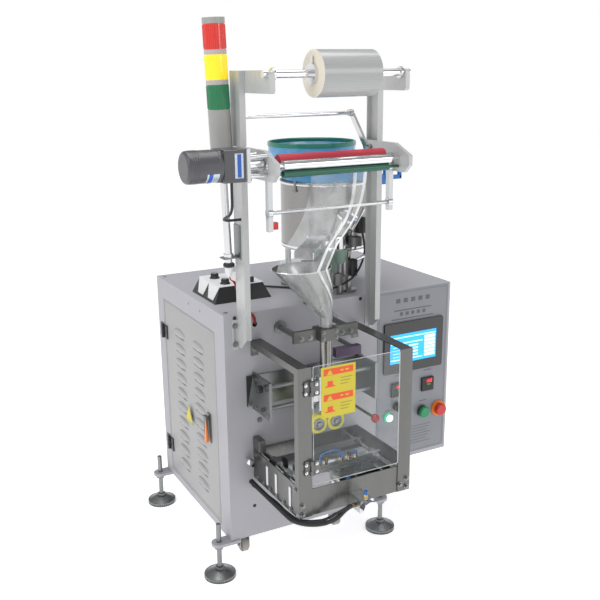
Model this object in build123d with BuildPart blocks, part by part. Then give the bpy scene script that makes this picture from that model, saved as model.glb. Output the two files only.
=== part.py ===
"""Vertical form fill seal machine: a sheet-metal cabinet, a film frame above it, a sealing station in front.

Millimetres. +Z is up, +X is to the machine's right, -Y is towards the operator. The origin is on the floor
under the middle of the machine's outline. The cabinet's left face and front face place everything else.
"""
import os
from math import cos, radians, sin

from build123d import *

os.makedirs("parts", exist_ok=True)

# ---------------------------------------------------------------- driving dimensions
# cabinet and control box
cabinet_width = 544.0
cabinet_depth = 600.0
cabinet_bottom = 122.0
cabinet_height = 751.0
wall = 2.0
control_width = 295.0
control_height = 611.0
panel_margin = 9.0
panel_thick = 2.0

# levelling feet and casters
pad_radius = 51.0
pad_height = 25.0
stem_radius = 8.0
stem_top = 186.0
lug_thick = 10.0
lug_reach = 36.0
foot_inset = 18.0
caster_radius = 25.0
caster_width = 22.0
caster_axle_height = 72.0
caster_axle_radius = 4.0
caster_inset = 62.0

# film frame
column_gap = 432.0          # between the two columns' inner sides
column_width = 18.0
column_depth = 62.0
column_top = 1572.0
column_bottom = 773.0
column_wall = 3.0
bracket_thick = 13.0
bracket_height = 59.0
bracket_reach = 220.0
reel_axis_back = 197.0      # reel axis in front of the cabinet face
reel_axis_drop = 10.0
reel_shaft_radius = 10.0
roll_radius = 62.0
roll_width = 180.0
roll_core_radius = 20.0

# film rollers
plate_thick = 12.0
plate_reach = 243.0
plate_top = 1366.0
plate_height = 80.0
drive_axis_reach = 160.0
drive_axis_height = 1333.0
drive_roller_radius = 20.0
pinch_roller_radius = 13.5
roller_length = 342.0
journal_radius = 6.0
nip_gap = 0.6
dancer_length = 105.0
dancer_tail = 52.0
guide_arm_length = 125.0
guide_bar_radius = 6.0

# feed motor
gearbox_side = 86.0
gearbox_length = 63.0
motor_radius = 43.0
motor_length = 98.0
mount_plate = 10.0
mount_standoff = 55.0

# signal tower
tower_radius = 31.0
tower_pole_radius = 11.0
tower_foot_height = 1055.0
tower_body_height = 1345.0
tower_body_length = 125.0
tower_lean = 1.9
lens_height = 66.5
collar_height = 12.5
tower_cap_height = 16.0

# hopper and dosing
drum_radius = 150.0
drum_bottom = 1010.0
drum_top = 1228.0
hopper_radius = 144.0
hopper_top = 1348.0
sheet = 1.5
disc_clearance = 8.5
disc_radius = drum_radius - sheet - disc_clearance
disc_thick = 28.0
cup_radius = 19.0
cup_inset = 35.0            # from the disc's edge to the cups' centres
cup_circle = disc_radius - cup_inset
cup_count = 6
base_plate_height = 1066.0
base_plate = 6.0
tray_width = 60.0
tray_depth = 22.0

# forming tube and sealing station
tube_radius = 18.0
tube_reach = 123.0
tube_bottom = 700.0
funnel_radius = 90.0
funnel_top = 1022.0
funnel_neck = 862.0
funnel_offset = 80.0        # the mouth sits to the left of the tube
guard_width = 384.0
guard_reach = 300.0
guard_top = 785.0
guard_bottom = 328.0
guard_sheet = 3.0
post_width = 44.0
door_sheet = 5.0
box_top = 427.0
jaw_height = 400.0
jaw_size = 34.0
jaw_length = 250.0
jaw_open = 14.0
seal_height = 622.0
seal_length = 110.0
seal_open = 10.0
guide_rod_radius = 7.0
pull_height = 525.0
pull_radius = 30.0
pull_width = 22.0
cylinder_side = 44.0
cylinder_length = 150.0
cylinder_reach = 385.0
cylinder_height = 347.0

# side door
door_low = 150.0
door_high = 801.0
door_front = 77.0
door_back = 60.0            # from the cabinet's back to the door
door_gap = 1.5

# clearances
running = 0.08              # radial, shafts and pins in their holes
sliding = 0.3               # radial, loose guides
touch = 0.1                 # face gap between parts that turn or slide on each other

# ---------------------------------------------------------------- places worked out from the sizes
motor_tail = mount_plate + gearbox_length + motor_length - 7.0
foot_back = cabinet_depth - foot_inset + pad_radius
left = -(cabinet_width + control_width - motor_tail) / 2
front = -(foot_back - cylinder_reach) / 2
right = left + cabinet_width
back = front + cabinet_depth
cabinet_top = cabinet_bottom + cabinet_height
control_right = right + control_width
control_bottom = cabinet_top - control_height
middle = left + 278.0
inner_left = middle - column_gap / 2
inner_right = middle + column_gap / 2
reel_y = front - reel_axis_back
reel_z = column_top - reel_axis_drop
tube_y = front - tube_reach


def block(x, y, z, mode=Mode.ADD):
    """Add a box given by its low and high limits along each axis."""
    centre = (sum(x) / 2, sum(y) / 2, sum(z) / 2)
    with Locations(centre):
        Box(x[1] - x[0], y[1] - y[0], z[1] - z[0], mode=mode)


def rod(start, end, radius, mode=Mode.ADD):
    """Add a round bar from one point to another."""
    run = Vector(*end) - Vector(*start)
    with Locations(Plane(origin=start, z_dir=run)):
        Cylinder(radius, run.length, align=(Align.CENTER, Align.CENTER, Align.MIN), mode=mode)


def cross_bar(low, high, y, z, radius, mode=Mode.ADD):
    """Add a round bar along X."""
    rod((low, y, z), (high, y, z), radius, mode)


def write(piece, name):
    """Label a finished piece and write it as its own STEP file."""
    piece.part.label = name
    export_step(piece.part, f"parts/{name}.step")


# ---------------------------------------------------------------- cabinet
foot_spots = [
    (x, y)
    for x in (left - lug_reach, right + lug_reach)
    for y in (front + foot_inset, back - foot_inset)
]
lug_bottom = cabinet_bottom - lug_thick
lug_radius = 24.0
lug_root = 30.0
door_y = (front + door_front, back - door_back)
door_z = (door_low, door_high)
ledge = 10.0
hinge_y = door_y[1] + 6.0
hinge_x = left - 6.0
hinge_pin_radius = 3.0
hinge_radius = 5.5
hinge_length = 50.0
hinge_spots = [door_low + 76.0, door_high - 142.0]
pull_x = (middle - pull_radius - 0.8, middle + pull_radius + 0.8)
pull_shaft_radius = 6.0
wire_hole = (left + 102.0, cabinet_top - 40.0)
hose_hole = (left + 76.0, guard_bottom - 13.0)

with BuildPart() as cabinet_shell:
    block((left, right), (front, back), (cabinet_bottom, cabinet_top))
    block(
        (left + wall, right - wall),
        (front + wall, back - wall),
        (cabinet_bottom + wall, cabinet_top - wall),
        Mode.SUBTRACT,
    )
    block(
        (left + wall, left + wall + 4),
        (door_y[0] - 16, door_y[1] + 16),
        (door_z[0] - 16, door_z[1] + 16),
    )
    block(
        (left - 1, left + wall + 1),
        (door_y[0] - door_gap, door_y[1] + door_gap),
        (door_z[0] - door_gap, door_z[1] + door_gap),
        Mode.SUBTRACT,
    )
    block(
        (left + wall, left + wall + 5),
        (door_y[0] + ledge, door_y[1] - ledge),
        (door_z[0] + ledge, door_z[1] - ledge),
        Mode.SUBTRACT,
    )
    with BuildSketch(Plane.XY.offset(lug_bottom)):
        for x, y in foot_spots:
            inward = lug_root if x < middle else -lug_root
            edge = left if x < middle else right
            with Locations((x, y)):
                Circle(lug_radius)
            with Locations(((x + edge + inward) / 2, y)):
                Rectangle(abs(edge + inward - x), 2 * lug_radius)
    extrude(amount=lug_thick)
    for x, y in foot_spots:
        rod((x, y, lug_bottom - 1), (x, y, cabinet_bottom + 1), stem_radius + sliding, Mode.SUBTRACT)
    for z in hinge_spots:
        block((left - 3, left), (hinge_y + 7, hinge_y + 30), (z, z + hinge_length))
        for part_low in (0.0, 2 / 3):
            low = z + hinge_length * part_low
            knuckle = hinge_length / 3 - touch
            block((hinge_x, left), (hinge_y, hinge_y + 8), (low, low + knuckle))
            rod((hinge_x, hinge_y, low), (hinge_x, hinge_y, low + knuckle), hinge_radius)
        rod((hinge_x, hinge_y, z), (hinge_x, hinge_y, z + hinge_length), hinge_pin_radius)
    for x in pull_x:
        rod((x, front - 1, pull_height), (x, front + wall + 1, pull_height), pull_shaft_radius + 1, Mode.SUBTRACT)
    for x, z in (wire_hole, hose_hole):
        rod((x, front - 1, z), (x, front + wall + 1, z), 8, Mode.SUBTRACT)
write(cabinet_shell, "cabinet_shell")

louvre_rows = 10
louvre_pitch = 54.0
louvre_top = door_high - 87.0
louvre_gap = 72.0
latch_y = door_y[0] + 67.0
louvre_band = (latch_y + 30.0, door_y[1] - 102.0)
louvre_length = (louvre_band[1] - louvre_band[0] - louvre_gap) / 2
louvre_columns = [louvre_band[0] + louvre_length / 2, louvre_band[1] - louvre_length / 2]
latch_z = (410.0, 512.0)
latch_stand_off = 9.0
with BuildPart() as side_door:
    block((left, left + wall), door_y, door_z)
    for z in hinge_spots:
        low = z + hinge_length / 3 + touch
        high = z + hinge_length * 2 / 3 - 2 * touch
        block((left - 3, left), (hinge_y - 34, hinge_y - 8), (z, z + hinge_length))
        block((left - 6, left - 1), (hinge_y - 12, hinge_y - 2), (low, high))
        rod((hinge_x, hinge_y, low), (hinge_x, hinge_y, high), hinge_radius)
        low, high = low - 1, high + 1
        rod((hinge_x, hinge_y, low), (hinge_x, hinge_y, high), hinge_pin_radius + running, Mode.SUBTRACT)
    # louvres pressed out of the sheet, open along their lower side
    for y in louvre_columns:
        for row in range(louvre_rows):
            z = louvre_top - row * louvre_pitch
            block((left - 6, left), (y - louvre_length / 2, y + louvre_length / 2), (z - 9, z + 9))
            block(
                (left - 4.5, left + wall + 1),
                (y - louvre_length / 2 + 1.5, y + louvre_length / 2 - 1.5),
                (z - 10, z + 7),
                Mode.SUBTRACT,
            )
    block((left - 4, left), (latch_y - 14, latch_y + 14), latch_z)
    latch_axis = latch_z[1] - 16
    rod((left - 5, latch_y, latch_axis), (left + wall + 1, latch_y, latch_axis), 6 + running, Mode.SUBTRACT)
write(side_door, "side_door")

with BuildPart() as door_latch:
    rod((left - 14, latch_y, latch_axis), (left + wall + 8, latch_y, latch_axis), 6)
    handle_x = (left - latch_stand_off - 9, left - latch_stand_off)
    block(handle_x, (latch_y - 9, latch_y + 9), (latch_z[0] + 6, latch_axis + 10))
    block((left + wall + 4, left + wall + 8), (latch_y - 9, latch_y + 9), (latch_axis - 14, latch_axis + 14))
write(door_latch, "door_latch")

for number, (x, y) in enumerate(foot_spots, start=1):
    with BuildPart() as foot:
        rod((x, y, 0), (x, y, 12), pad_radius)
        with Locations((x, y, 12)):
            Cone(pad_radius - 3, 20, pad_height - 12, align=(Align.CENTER, Align.CENTER, Align.MIN))
        rod((x, y, pad_height - 1), (x, y, stem_top), stem_radius)
        for low, high in ((pad_height, pad_height + 10), (lug_bottom - 13, lug_bottom - touch)):
            with BuildSketch(Plane.XY.offset(low)):
                with Locations((x, y)):
                    RegularPolygon(15, 6)
            extrude(amount=high - low)
    write(foot, f"foot_{number}")

caster_spots = [
    (x, y)
    for x in (left + caster_inset, right - 134.0)
    for y in (front + 48.0, back - 48.0)
]
fork_gap = caster_width / 2 + 2
with BuildPart() as caster_forks:
    for x, y in caster_spots:
        block((x - 28, x + 28), (y - 28, y + 28), (cabinet_bottom - 4, cabinet_bottom))
        for side in (-1, 1):
            leg = sorted((x + side * fork_gap, x + side * (fork_gap + 3)))
            block(leg, (y - 15, y + 15), (caster_axle_height - 10, cabinet_bottom - 4))
        reach = fork_gap + 6
        cross_bar(x - reach, x + reach, y, caster_axle_height, caster_axle_radius)
write(caster_forks, "caster_forks")

for number, (x, y) in enumerate(caster_spots, start=1):
    with BuildPart() as caster_wheel:
        half = caster_width / 2
        cross_bar(x - half, x + half, y, caster_axle_height, caster_radius)
        fillet(caster_wheel.edges().filter_by(GeomType.CIRCLE), radius=3)
        bore = caster_axle_radius + running
        cross_bar(x - half - 1, x + half + 1, y, caster_axle_height, bore, Mode.SUBTRACT)
    write(caster_wheel, f"caster_wheel_{number}")

with BuildPart() as main_drive:
    base_z = cabinet_bottom + wall
    block((left + 150, left + 420), (front + 180, front + 420), (base_z, base_z + 12))
    block((left + 300, left + 400), (front + 220, front + 380), (base_z + 12, base_z + 180))
    rod((left + 165, front + 300, base_z + 95), (left + 300, front + 300, base_z + 95), 62)
    block((left + 190, left + 270), (front + 270, front + 330), (base_z + 12, base_z + 40))
    rod((left + 350, front + 140, base_z + 130), (left + 350, front + 220, base_z + 130), 14)
    rod((left + 350, front + 150, base_z + 130), (left + 350, front + 168, base_z + 130), 48)
write(main_drive, "main_drive")

# ---------------------------------------------------------------- control box and its panel
panel_x = (right + 2, control_right - panel_margin)
panel_z = (control_bottom + 14, cabinet_top - 4)
panel_y = (front - panel_thick, front)
screen_x = (right + 25, control_right - 32)
screen_z = (584.0, 760.0)
screen_back = (screen_x[0] + 6, screen_x[1] - 6, screen_z[0] + 6, screen_z[1] - 6)
meter_side = 48.0
meter_spots = [(right + 82, 523.0), (right + 207, 522.0)]
start_spot = (right + 190, 424.0)
stop_spot = (right + 258, 421.0)
lamp_spot = (right + 48, 428.0)
selector_spot = (right + 82, 462.0)
button_spots = [start_spot, stop_spot, lamp_spot, selector_spot]
collar_sizes = [21.0, 28.0, 16.0, 16.0]
button_stem = 11.0
collar_thick = 6.0


def cut_panel_openings(y):
    """Cut the screen, meter and button holes through a sheet between two Y limits."""
    block(screen_back[0:2], y, screen_back[2:4], Mode.SUBTRACT)
    for x, z in meter_spots:
        half = meter_side / 2 - 1.5
        block((x - half, x + half), y, (z - half, z + half), Mode.SUBTRACT)
    for x, z in button_spots:
        rod((x, y[0], z), (x, y[1], z), button_stem + running, Mode.SUBTRACT)


with BuildPart() as control_box:
    block((right, control_right), (front, back), (control_bottom, cabinet_top))
    block(
        (right + wall, control_right - wall),
        (front + wall, back - wall),
        (control_bottom + wall, cabinet_top - wall),
        Mode.SUBTRACT,
    )
    cut_panel_openings((front - 1, front + wall + 1))
write(control_box, "control_box")

with BuildPart() as control_panel:
    block(panel_x, panel_y, panel_z)
    for (x, z), radius in zip(button_spots, collar_sizes):
        rod((x, panel_y[0], z), (x, panel_y[0] - collar_thick, z), radius)
    cut_panel_openings((panel_y[0] - collar_thick - 1, front + 1))
write(control_panel, "control_panel")

with BuildPart() as touchscreen:
    bezel_y = panel_y[0]
    block(screen_x, (bezel_y - 7, bezel_y), screen_z)
    fillet(touchscreen.edges().filter_by(Axis.Y), radius=6)
    gap = 0.5
    block(
        (screen_back[0] + gap, screen_back[1] - gap),
        (bezel_y, front + 38),
        (screen_back[2] + gap, screen_back[3] - gap),
    )
    block(
        (screen_x[0] + 23, screen_x[1] - 26),
        (bezel_y - 8, bezel_y - 5.5),
        (screen_z[0] + 33, screen_z[1] - 40),
        Mode.SUBTRACT,
    )
write(touchscreen, "touchscreen")

with BuildPart() as temperature_meters:
    for x, z in meter_spots:
        half = meter_side / 2
        block((x - half, x + half), (panel_y[0] - 8, panel_y[0]), (z - half, z + half))
        half = meter_side / 2 - 2
        block((x - half, x + half), (panel_y[0], front + 72), (z - half, z + half))
        block((x - half, x + half), (panel_y[0] - 9, panel_y[0] - 7), (z - 2, z + half), Mode.SUBTRACT)
write(temperature_meters, "temperature_meters")

for name, (x, z), radius, travel, cap in (
    ("start_button", start_spot, 20.0, 4.0, 12.0),
    ("stop_button", stop_spot, 21.0, 5.0, 14.0),
    ("lamp_button", lamp_spot, 12.0, 3.0, 4.0),
):
    with BuildPart() as button:
        collar_face = panel_y[0] - collar_thick
        cap_back = collar_face - travel - 1
        rod((x, front + 40, z), (x, cap_back, z), button_stem)
        rod((x, cap_back, z), (x, cap_back - cap, z), radius)
        fillet(button.faces().sort_by(Axis.Y)[0].edges(), radius=cap * 0.4)
    write(button, name)

with BuildPart() as selector_switch:
    x, z = selector_spot
    rod((x, front + 40, z), (x, panel_y[0] - collar_thick - 1, z), button_stem)
    rod((x, panel_y[0] - collar_thick - touch, z), (x, panel_y[0] - collar_thick - 8, z), 15)
    block((x - 4, x + 4), (panel_y[0] - collar_thick - 19, panel_y[0] - collar_thick - 8), (z - 15, z + 15))
write(selector_switch, "selector_switch")

# ---------------------------------------------------------------- film frame
with BuildPart() as columns:
    outer = inner_left - column_width
    block((outer, outer + column_wall), (front - column_depth, front), (column_bottom, column_top))
    for low in (front - column_depth, front - column_wall):
        block((outer, inner_left), (low, low + column_wall), (column_bottom, column_top))
    block((outer, inner_left), (front - column_depth, front), (column_top - column_wall, column_top))
    with BuildSketch(Plane.YZ.offset(outer - 1)):
        with BuildLine():
            Polyline(
                (front - column_depth - 1, column_bottom - 1),
                (front - column_depth - 1, column_bottom + 34),
                (front - 24, column_bottom - 1),
                close=True,
            )
        make_face()
    extrude(amount=column_width + 2, mode=Mode.SUBTRACT)
    # slotted ear that bolts the column to the cabinet's front
    block((outer - 18, outer), (front - column_wall, front), (column_bottom - 10, column_bottom + 84))
    with BuildSketch(Plane.XZ.offset(-front - 1)):
        with Locations((outer - 9, column_bottom + 37)):
            SlotOverall(62, 8, rotation=90)
    extrude(amount=column_wall + 2, mode=Mode.SUBTRACT)
    mirror(about=Plane.YZ.offset(middle))
write(columns, "columns")

with BuildPart() as reel_brackets:
    bracket_x = (inner_left, inner_left + bracket_thick)
    block(bracket_x, (front - bracket_reach, front), (column_top - bracket_height, column_top))
    corners = reel_brackets.edges().filter_by(Axis.X).group_by(Axis.Y)[0]
    fillet(corners, radius=10)
    slot = reel_shaft_radius + running
    cross_bar(inner_left - 1, inner_left + bracket_thick + 1, reel_y, reel_z, slot, Mode.SUBTRACT)
    block(
        (inner_left - 1, inner_left + bracket_thick + 1),
        (reel_y - slot, reel_y + slot),
        (reel_z, column_top + 1),
        Mode.SUBTRACT,
    )
    mirror(about=Plane.YZ.offset(middle))
write(reel_brackets, "reel_brackets")

hub_radius = roll_core_radius - 0.2
roll_x = (middle - 78.0, middle - 78.0 + roll_width)
with BuildPart() as reel_shaft:
    cross_bar(inner_left - 12, inner_right + 12, reel_y, reel_z, reel_shaft_radius)
    for x, way in ((roll_x[0], 1), (roll_x[1], -1)):
        cross_bar(*sorted((x, x + way * 30)), reel_y, reel_z, hub_radius)
        cross_bar(*sorted((x - way * 10, x)), reel_y, reel_z, hub_radius + 8)
        rod((x - way * 5, reel_y, reel_z + hub_radius), (x - way * 5, reel_y, reel_z + hub_radius + 26), 4)
    for x in (inner_left + bracket_thick + 0.5, inner_right - bracket_thick - 8.5):
        cross_bar(x, x + 8, reel_y, reel_z, reel_shaft_radius + 6)
write(reel_shaft, "reel_shaft")

with BuildPart() as film_roll:
    cross_bar(*roll_x, reel_y, reel_z, roll_radius)
    cross_bar(roll_x[0] - 1, roll_x[1] + 1, reel_y, reel_z, roll_core_radius, Mode.SUBTRACT)
write(film_roll, "film_roll")

# ---------------------------------------------------------------- film rollers
drive_y = front - drive_axis_reach
drive_z = drive_axis_height
pinch_y = drive_y - (drive_roller_radius + pinch_roller_radius + nip_gap) * cos(radians(12))
pinch_z = drive_z - (drive_roller_radius + pinch_roller_radius + nip_gap) * sin(radians(12))
idle_radius = 8.0
idle_y = pinch_y + 4.0
idle_z = pinch_z - pinch_roller_radius - idle_radius - 2.0
pivot_y = front - 158.0
pivot_z = plate_top - plate_height + 14.0
arm_pivot_y = front - 22.0
arm_pivot_z = plate_top - 16.0
plate_inner = inner_left + plate_thick
roller_x = (middle - roller_length / 2, middle + roller_length / 2)
journals = [
    (drive_y, drive_z, journal_radius),
    (pinch_y, pinch_z, journal_radius),
    (pivot_y, pivot_z, journal_radius),
    (arm_pivot_y, arm_pivot_z, journal_radius),
]
with BuildPart() as roller_plates:
    with BuildSketch(Plane.YZ.offset(inner_left)):
        with BuildLine():
            Polyline(
                (front, plate_top),
                (front - 168, plate_top),
                (front - plate_reach, plate_top - 30),
                (front - plate_reach, plate_top - 58),
                (front - 218, plate_top - plate_height),
                (front, plate_top - plate_height),
                close=True,
            )
        make_face()
    extrude(amount=plate_thick)
    for y, z, radius in journals:
        cross_bar(inner_left - 1, plate_inner + 1, y, z, radius + running, Mode.SUBTRACT)
    mirror(about=Plane.YZ.offset(middle))
    # fixed round bar the film turns over under the rollers
    cross_bar(*roller_x, idle_y, idle_z, idle_radius)
    cross_bar(inner_left + 2, inner_right - 2, idle_y, idle_z, 4)
write(roller_plates, "roller_plates")

mount_x = inner_left - mount_standoff - mount_plate
coupling_radius = 21.0
with BuildPart() as motor_mount:
    half = gearbox_side / 2 + 2
    plate_x = (mount_x, mount_x + mount_plate)
    block(plate_x, (drive_y - half, drive_y + half), (drive_z - half, drive_z + half))
    fillet(motor_mount.edges().filter_by(Axis.X), radius=5)
    cross_bar(mount_x - 1, mount_x + mount_plate + 1, drive_y, drive_z, 16, Mode.SUBTRACT)
    for y in (-29, 29):
        cross_bar(mount_x + mount_plate, inner_left, drive_y + y, drive_z + 20, 6)
        cross_bar(mount_x + mount_plate, inner_left, drive_y + y, drive_z - 30, 6)
write(motor_mount, "motor_mount")

gearbox_x = (mount_x - gearbox_length, mount_x)
with BuildPart() as gearbox:
    half = gearbox_side / 2
    block(gearbox_x, (drive_y - half, drive_y + half), (drive_z - half, drive_z + half))
    fillet(gearbox.edges().filter_by(Axis.X), radius=7)
    cross_bar(mount_x - 20, mount_x + 1, drive_y, drive_z, journal_radius + running, Mode.SUBTRACT)
write(gearbox, "gearbox")

with BuildPart() as feed_motor:
    cross_bar(gearbox_x[0] - motor_length, gearbox_x[0], drive_y, drive_z, motor_radius)
    fillet(feed_motor.edges().filter_by(GeomType.CIRCLE).sort_by(Axis.X)[0], radius=9)
write(feed_motor, "feed_motor")

with BuildPart() as drive_roller:
    cross_bar(*roller_x, drive_y, drive_z, drive_roller_radius)
    fillet(drive_roller.edges().filter_by(GeomType.CIRCLE), radius=1.5)
    cross_bar(mount_x - 18, inner_right + 4, drive_y, drive_z, journal_radius)
    cross_bar(mount_x + mount_plate + 3, inner_left - 3, drive_y, drive_z, coupling_radius)
write(drive_roller, "drive_roller")

with BuildPart() as pinch_roller:
    cross_bar(*roller_x, pinch_y, pinch_z, pinch_roller_radius)
    cross_bar(inner_left - 2, inner_right + 14, pinch_y, pinch_z, journal_radius)
    cross_bar(inner_right + 14, inner_right + 26, pinch_y, pinch_z, 11)
write(pinch_roller, "pinch_roller")

arm_x = (plate_inner + 0.4, plate_inner + 8.4)
arm_y = arm_pivot_y + guide_arm_length * cos(radians(48))
arm_z = arm_pivot_z + guide_arm_length * sin(radians(48))
with BuildPart() as guide_arm:
    with BuildSketch(Plane.YZ.offset(arm_x[0])):
        with Locations((arm_pivot_y, arm_pivot_z), (arm_y, arm_z)):
            Circle(11)
        with Locations(((arm_pivot_y + arm_y) / 2, (arm_pivot_z + arm_z) / 2)):
            Rectangle(guide_arm_length, 18, rotation=48)
    extrude(amount=arm_x[1] - arm_x[0])
    cross_bar(inner_left + 0.5, arm_x[0] + 1, arm_pivot_y, arm_pivot_z, journal_radius)
    mirror(about=Plane.YZ.offset(middle))
    cross_bar(arm_x[0], 2 * middle - arm_x[0], arm_y, arm_z, guide_bar_radius)
    for x in (arm_x[1], 2 * middle - arm_x[1] - 9):
        cross_bar(x, x + 9, arm_y, arm_z, guide_bar_radius + 4)
write(guide_arm, "guide_arm")

dancer_x = (plate_inner + 0.4, plate_inner + 14.4)
bar_z = pivot_z - dancer_length
with BuildPart() as dancer_arm:
    for low, high, tail in (
        (dancer_x[0], dancer_x[1], dancer_tail),
        (2 * middle - dancer_x[1], 2 * middle - dancer_x[0], dancer_tail * 0.45),
    ):
        block((low, high), (pivot_y - 9, pivot_y + 9), (bar_z - tail, pivot_z))
        cross_bar(low, high, pivot_y, pivot_z, 13)
        cross_bar(low - 1 if low > middle else low, high, pivot_y, bar_z, 13)
    cross_bar(inner_left + 0.5, dancer_x[0] + 1, pivot_y, pivot_z, journal_radius)
    cross_bar(2 * middle - dancer_x[0] - 1, inner_right - 0.5, pivot_y, pivot_z, journal_radius)
    cross_bar(dancer_x[0], 2 * middle - dancer_x[0], pivot_y, bar_z, 5.5)
    # loop sensor on the left arm's tail
    block((dancer_x[1], dancer_x[1] + 16), (pivot_y - 8, pivot_y + 8), (bar_z - 46, bar_z - 26))
write(dancer_arm, "dancer_arm")

# ---------------------------------------------------------------- signal tower
column_left = inner_left - column_width
tower_x = column_left - 26.0
tower_y = front - 12.0
tower_axis = Vector(-sin(radians(tower_lean)), 0, cos(radians(tower_lean)))


def tower_point(height):
    """Give the point on the leaning tower axis at a distance above its foot."""
    return tuple(Vector(tower_x, tower_y, tower_foot_height) + tower_axis * height)


with BuildPart() as tower_bracket:
    foot_z = tower_foot_height
    block((column_left - 3, column_left), (front - 46, front - 2), (foot_z - 8, foot_z + 92))
    tower_side = Vector(tower_axis.Z, 0, -tower_axis.X)
    with Locations(Plane(origin=tower_point(-6), z_dir=tower_axis, x_dir=tower_side)):
        Box(column_left - tower_x + 16, 36, 4, align=(Align.CENTER, Align.CENTER, Align.MIN))
    block((column_left, column_left + 9), (front - 46, front), (foot_z - 20, foot_z), Mode.SUBTRACT)
    rod(tower_point(-12), tower_point(0), 6 + running, Mode.SUBTRACT)
write(tower_bracket, "tower_bracket")

lens_inner = tower_radius - 4.0
module = lens_height + collar_height
body_low = tower_body_height - tower_foot_height
body_top = body_low + tower_body_length
with BuildPart() as tower_body:
    rod(tower_point(-30), tower_point(-1), 6)
    rod(tower_point(-2 + touch), tower_point(8), 15)
    rod(tower_point(-18), tower_point(-6 - touch), 10)
    rod(tower_point(0), tower_point(body_low + 4), tower_pole_radius)
    rod(tower_point(body_low), tower_point(body_top), tower_radius)
    rod(tower_point(body_top), tower_point(body_top + 3 * module), 8)
    for step in range(3):
        low = body_top + lens_height + step * module
        height = collar_height if step < 2 else tower_cap_height
        rod(tower_point(low), tower_point(low + height), tower_radius)
write(tower_body, "tower_body")

with BuildPart() as tower_lenses:
    for step in range(3):
        low = body_top + step * module
        rod(tower_point(low), tower_point(low + lens_height), tower_radius - 0.5)
        rod(tower_point(low - 1), tower_point(low + lens_height + 1), lens_inner, Mode.SUBTRACT)
write(tower_lenses, "tower_lenses")

# ---------------------------------------------------------------- feeder controller on the cabinet top
controller_centre = (left + 125.5, front + 227.0)
controller_base = 195.0
controller_height = 50.0
knob_height = cabinet_top + controller_height
knob_spots = [(left + 84.0, front + 262.0), (left + 84.0, front + 176.0)]
with BuildPart() as feeder_controller:
    with BuildSketch(Plane.XY.offset(cabinet_top)):
        with Locations(controller_centre):
            Rectangle(controller_base, controller_base)
    with BuildSketch(Plane.XY.offset(knob_height)):
        with Locations(controller_centre):
            Rectangle(controller_base - 47, controller_base - 30)
    loft()
    for x, y in knob_spots:
        rod((x, y, knob_height - 20), (x, y, knob_height + 1), 3 + running, Mode.SUBTRACT)
    rod((left + 166, front + 155, knob_height), (left + 166, front + 155, knob_height + 18), 8)
write(feeder_controller, "feeder_controller")

for number, (x, y) in enumerate(knob_spots, start=1):
    with BuildPart() as controller_knob:
        rod((x, y, knob_height - 18), (x, y, knob_height + 10), 3)
        rod((x, y, knob_height + touch), (x, y, knob_height + 18), 12)
        fillet(controller_knob.faces().sort_by(Axis.Z)[-1].edges(), radius=2)
    write(controller_knob, f"controller_knob_{number}")

# ---------------------------------------------------------------- hopper and dosing disc
drum_centre = (right - 78.0, front + 200.0)
hopper_centre = (drum_centre[0] - 28.0, drum_centre[1] + 45.0)
tray_end = (left + 214.0, front - 108.0)
cup_way = Vector(tray_end[0] - drum_centre[0], tray_end[1] - drum_centre[1], 0).normalized()
drop_point = (drum_centre[0] + cup_way.X * cup_circle, drum_centre[1] + cup_way.Y * cup_circle)
tray_top = base_plate_height - 4.0
tray_foot = (drop_point[0], drop_point[1], tray_top - tray_depth)
tray_plane = Plane(origin=tray_foot, x_dir=cup_way, z_dir=(0, 0, 1))
tray_length = (Vector(tray_end[0], tray_end[1], 0) - Vector(drop_point[0], drop_point[1], 0)).length

with BuildPart() as hopper_drum:
    with Locations((drum_centre[0], drum_centre[1], drum_bottom)):
        Cylinder(drum_radius, drum_top - drum_bottom, align=(Align.CENTER, Align.CENTER, Align.MIN))
    with Locations((drum_centre[0], drum_centre[1], drum_bottom - 1)):
        Cylinder(
            drum_radius - sheet,
            drum_top - drum_bottom + 2,
            align=(Align.CENTER, Align.CENTER, Align.MIN),
            mode=Mode.SUBTRACT,
        )
    with Locations((drum_centre[0], drum_centre[1], drum_top - 2)):
        Torus(drum_radius + 0.5, 3)
    with BuildSketch(Plane(origin=(*drum_centre, drum_bottom - 1), x_dir=cup_way, z_dir=(0, 0, 1))):
        with Locations((drum_radius, 0)):
            Rectangle(80, tray_width + 14)
    extrude(amount=base_plate_height - drum_bottom, mode=Mode.SUBTRACT)
write(hopper_drum, "hopper_drum")

rim_low = hopper_top - 32.0
with BuildPart() as hopper_shell:
    for grow, mode in ((0.0, Mode.ADD), (-sheet * 2, Mode.SUBTRACT)):
        end = 0.0 if mode is Mode.ADD else 1.0
        with BuildSketch(Plane.XY.offset(drum_top + 1.2 - end)):
            with Locations(drum_centre):
                Circle(drum_radius - 4 + grow)
        with BuildSketch(Plane.XY.offset(rim_low)):
            with Locations(hopper_centre):
                Circle(hopper_radius + grow)
        loft(mode=mode)
        with Locations((*hopper_centre, rim_low)):
            Cylinder(
                hopper_radius + grow,
                hopper_top - rim_low + end,
                align=(Align.CENTER, Align.CENTER, Align.MIN),
                mode=mode,
            )
write(hopper_shell, "hopper_shell")

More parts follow.
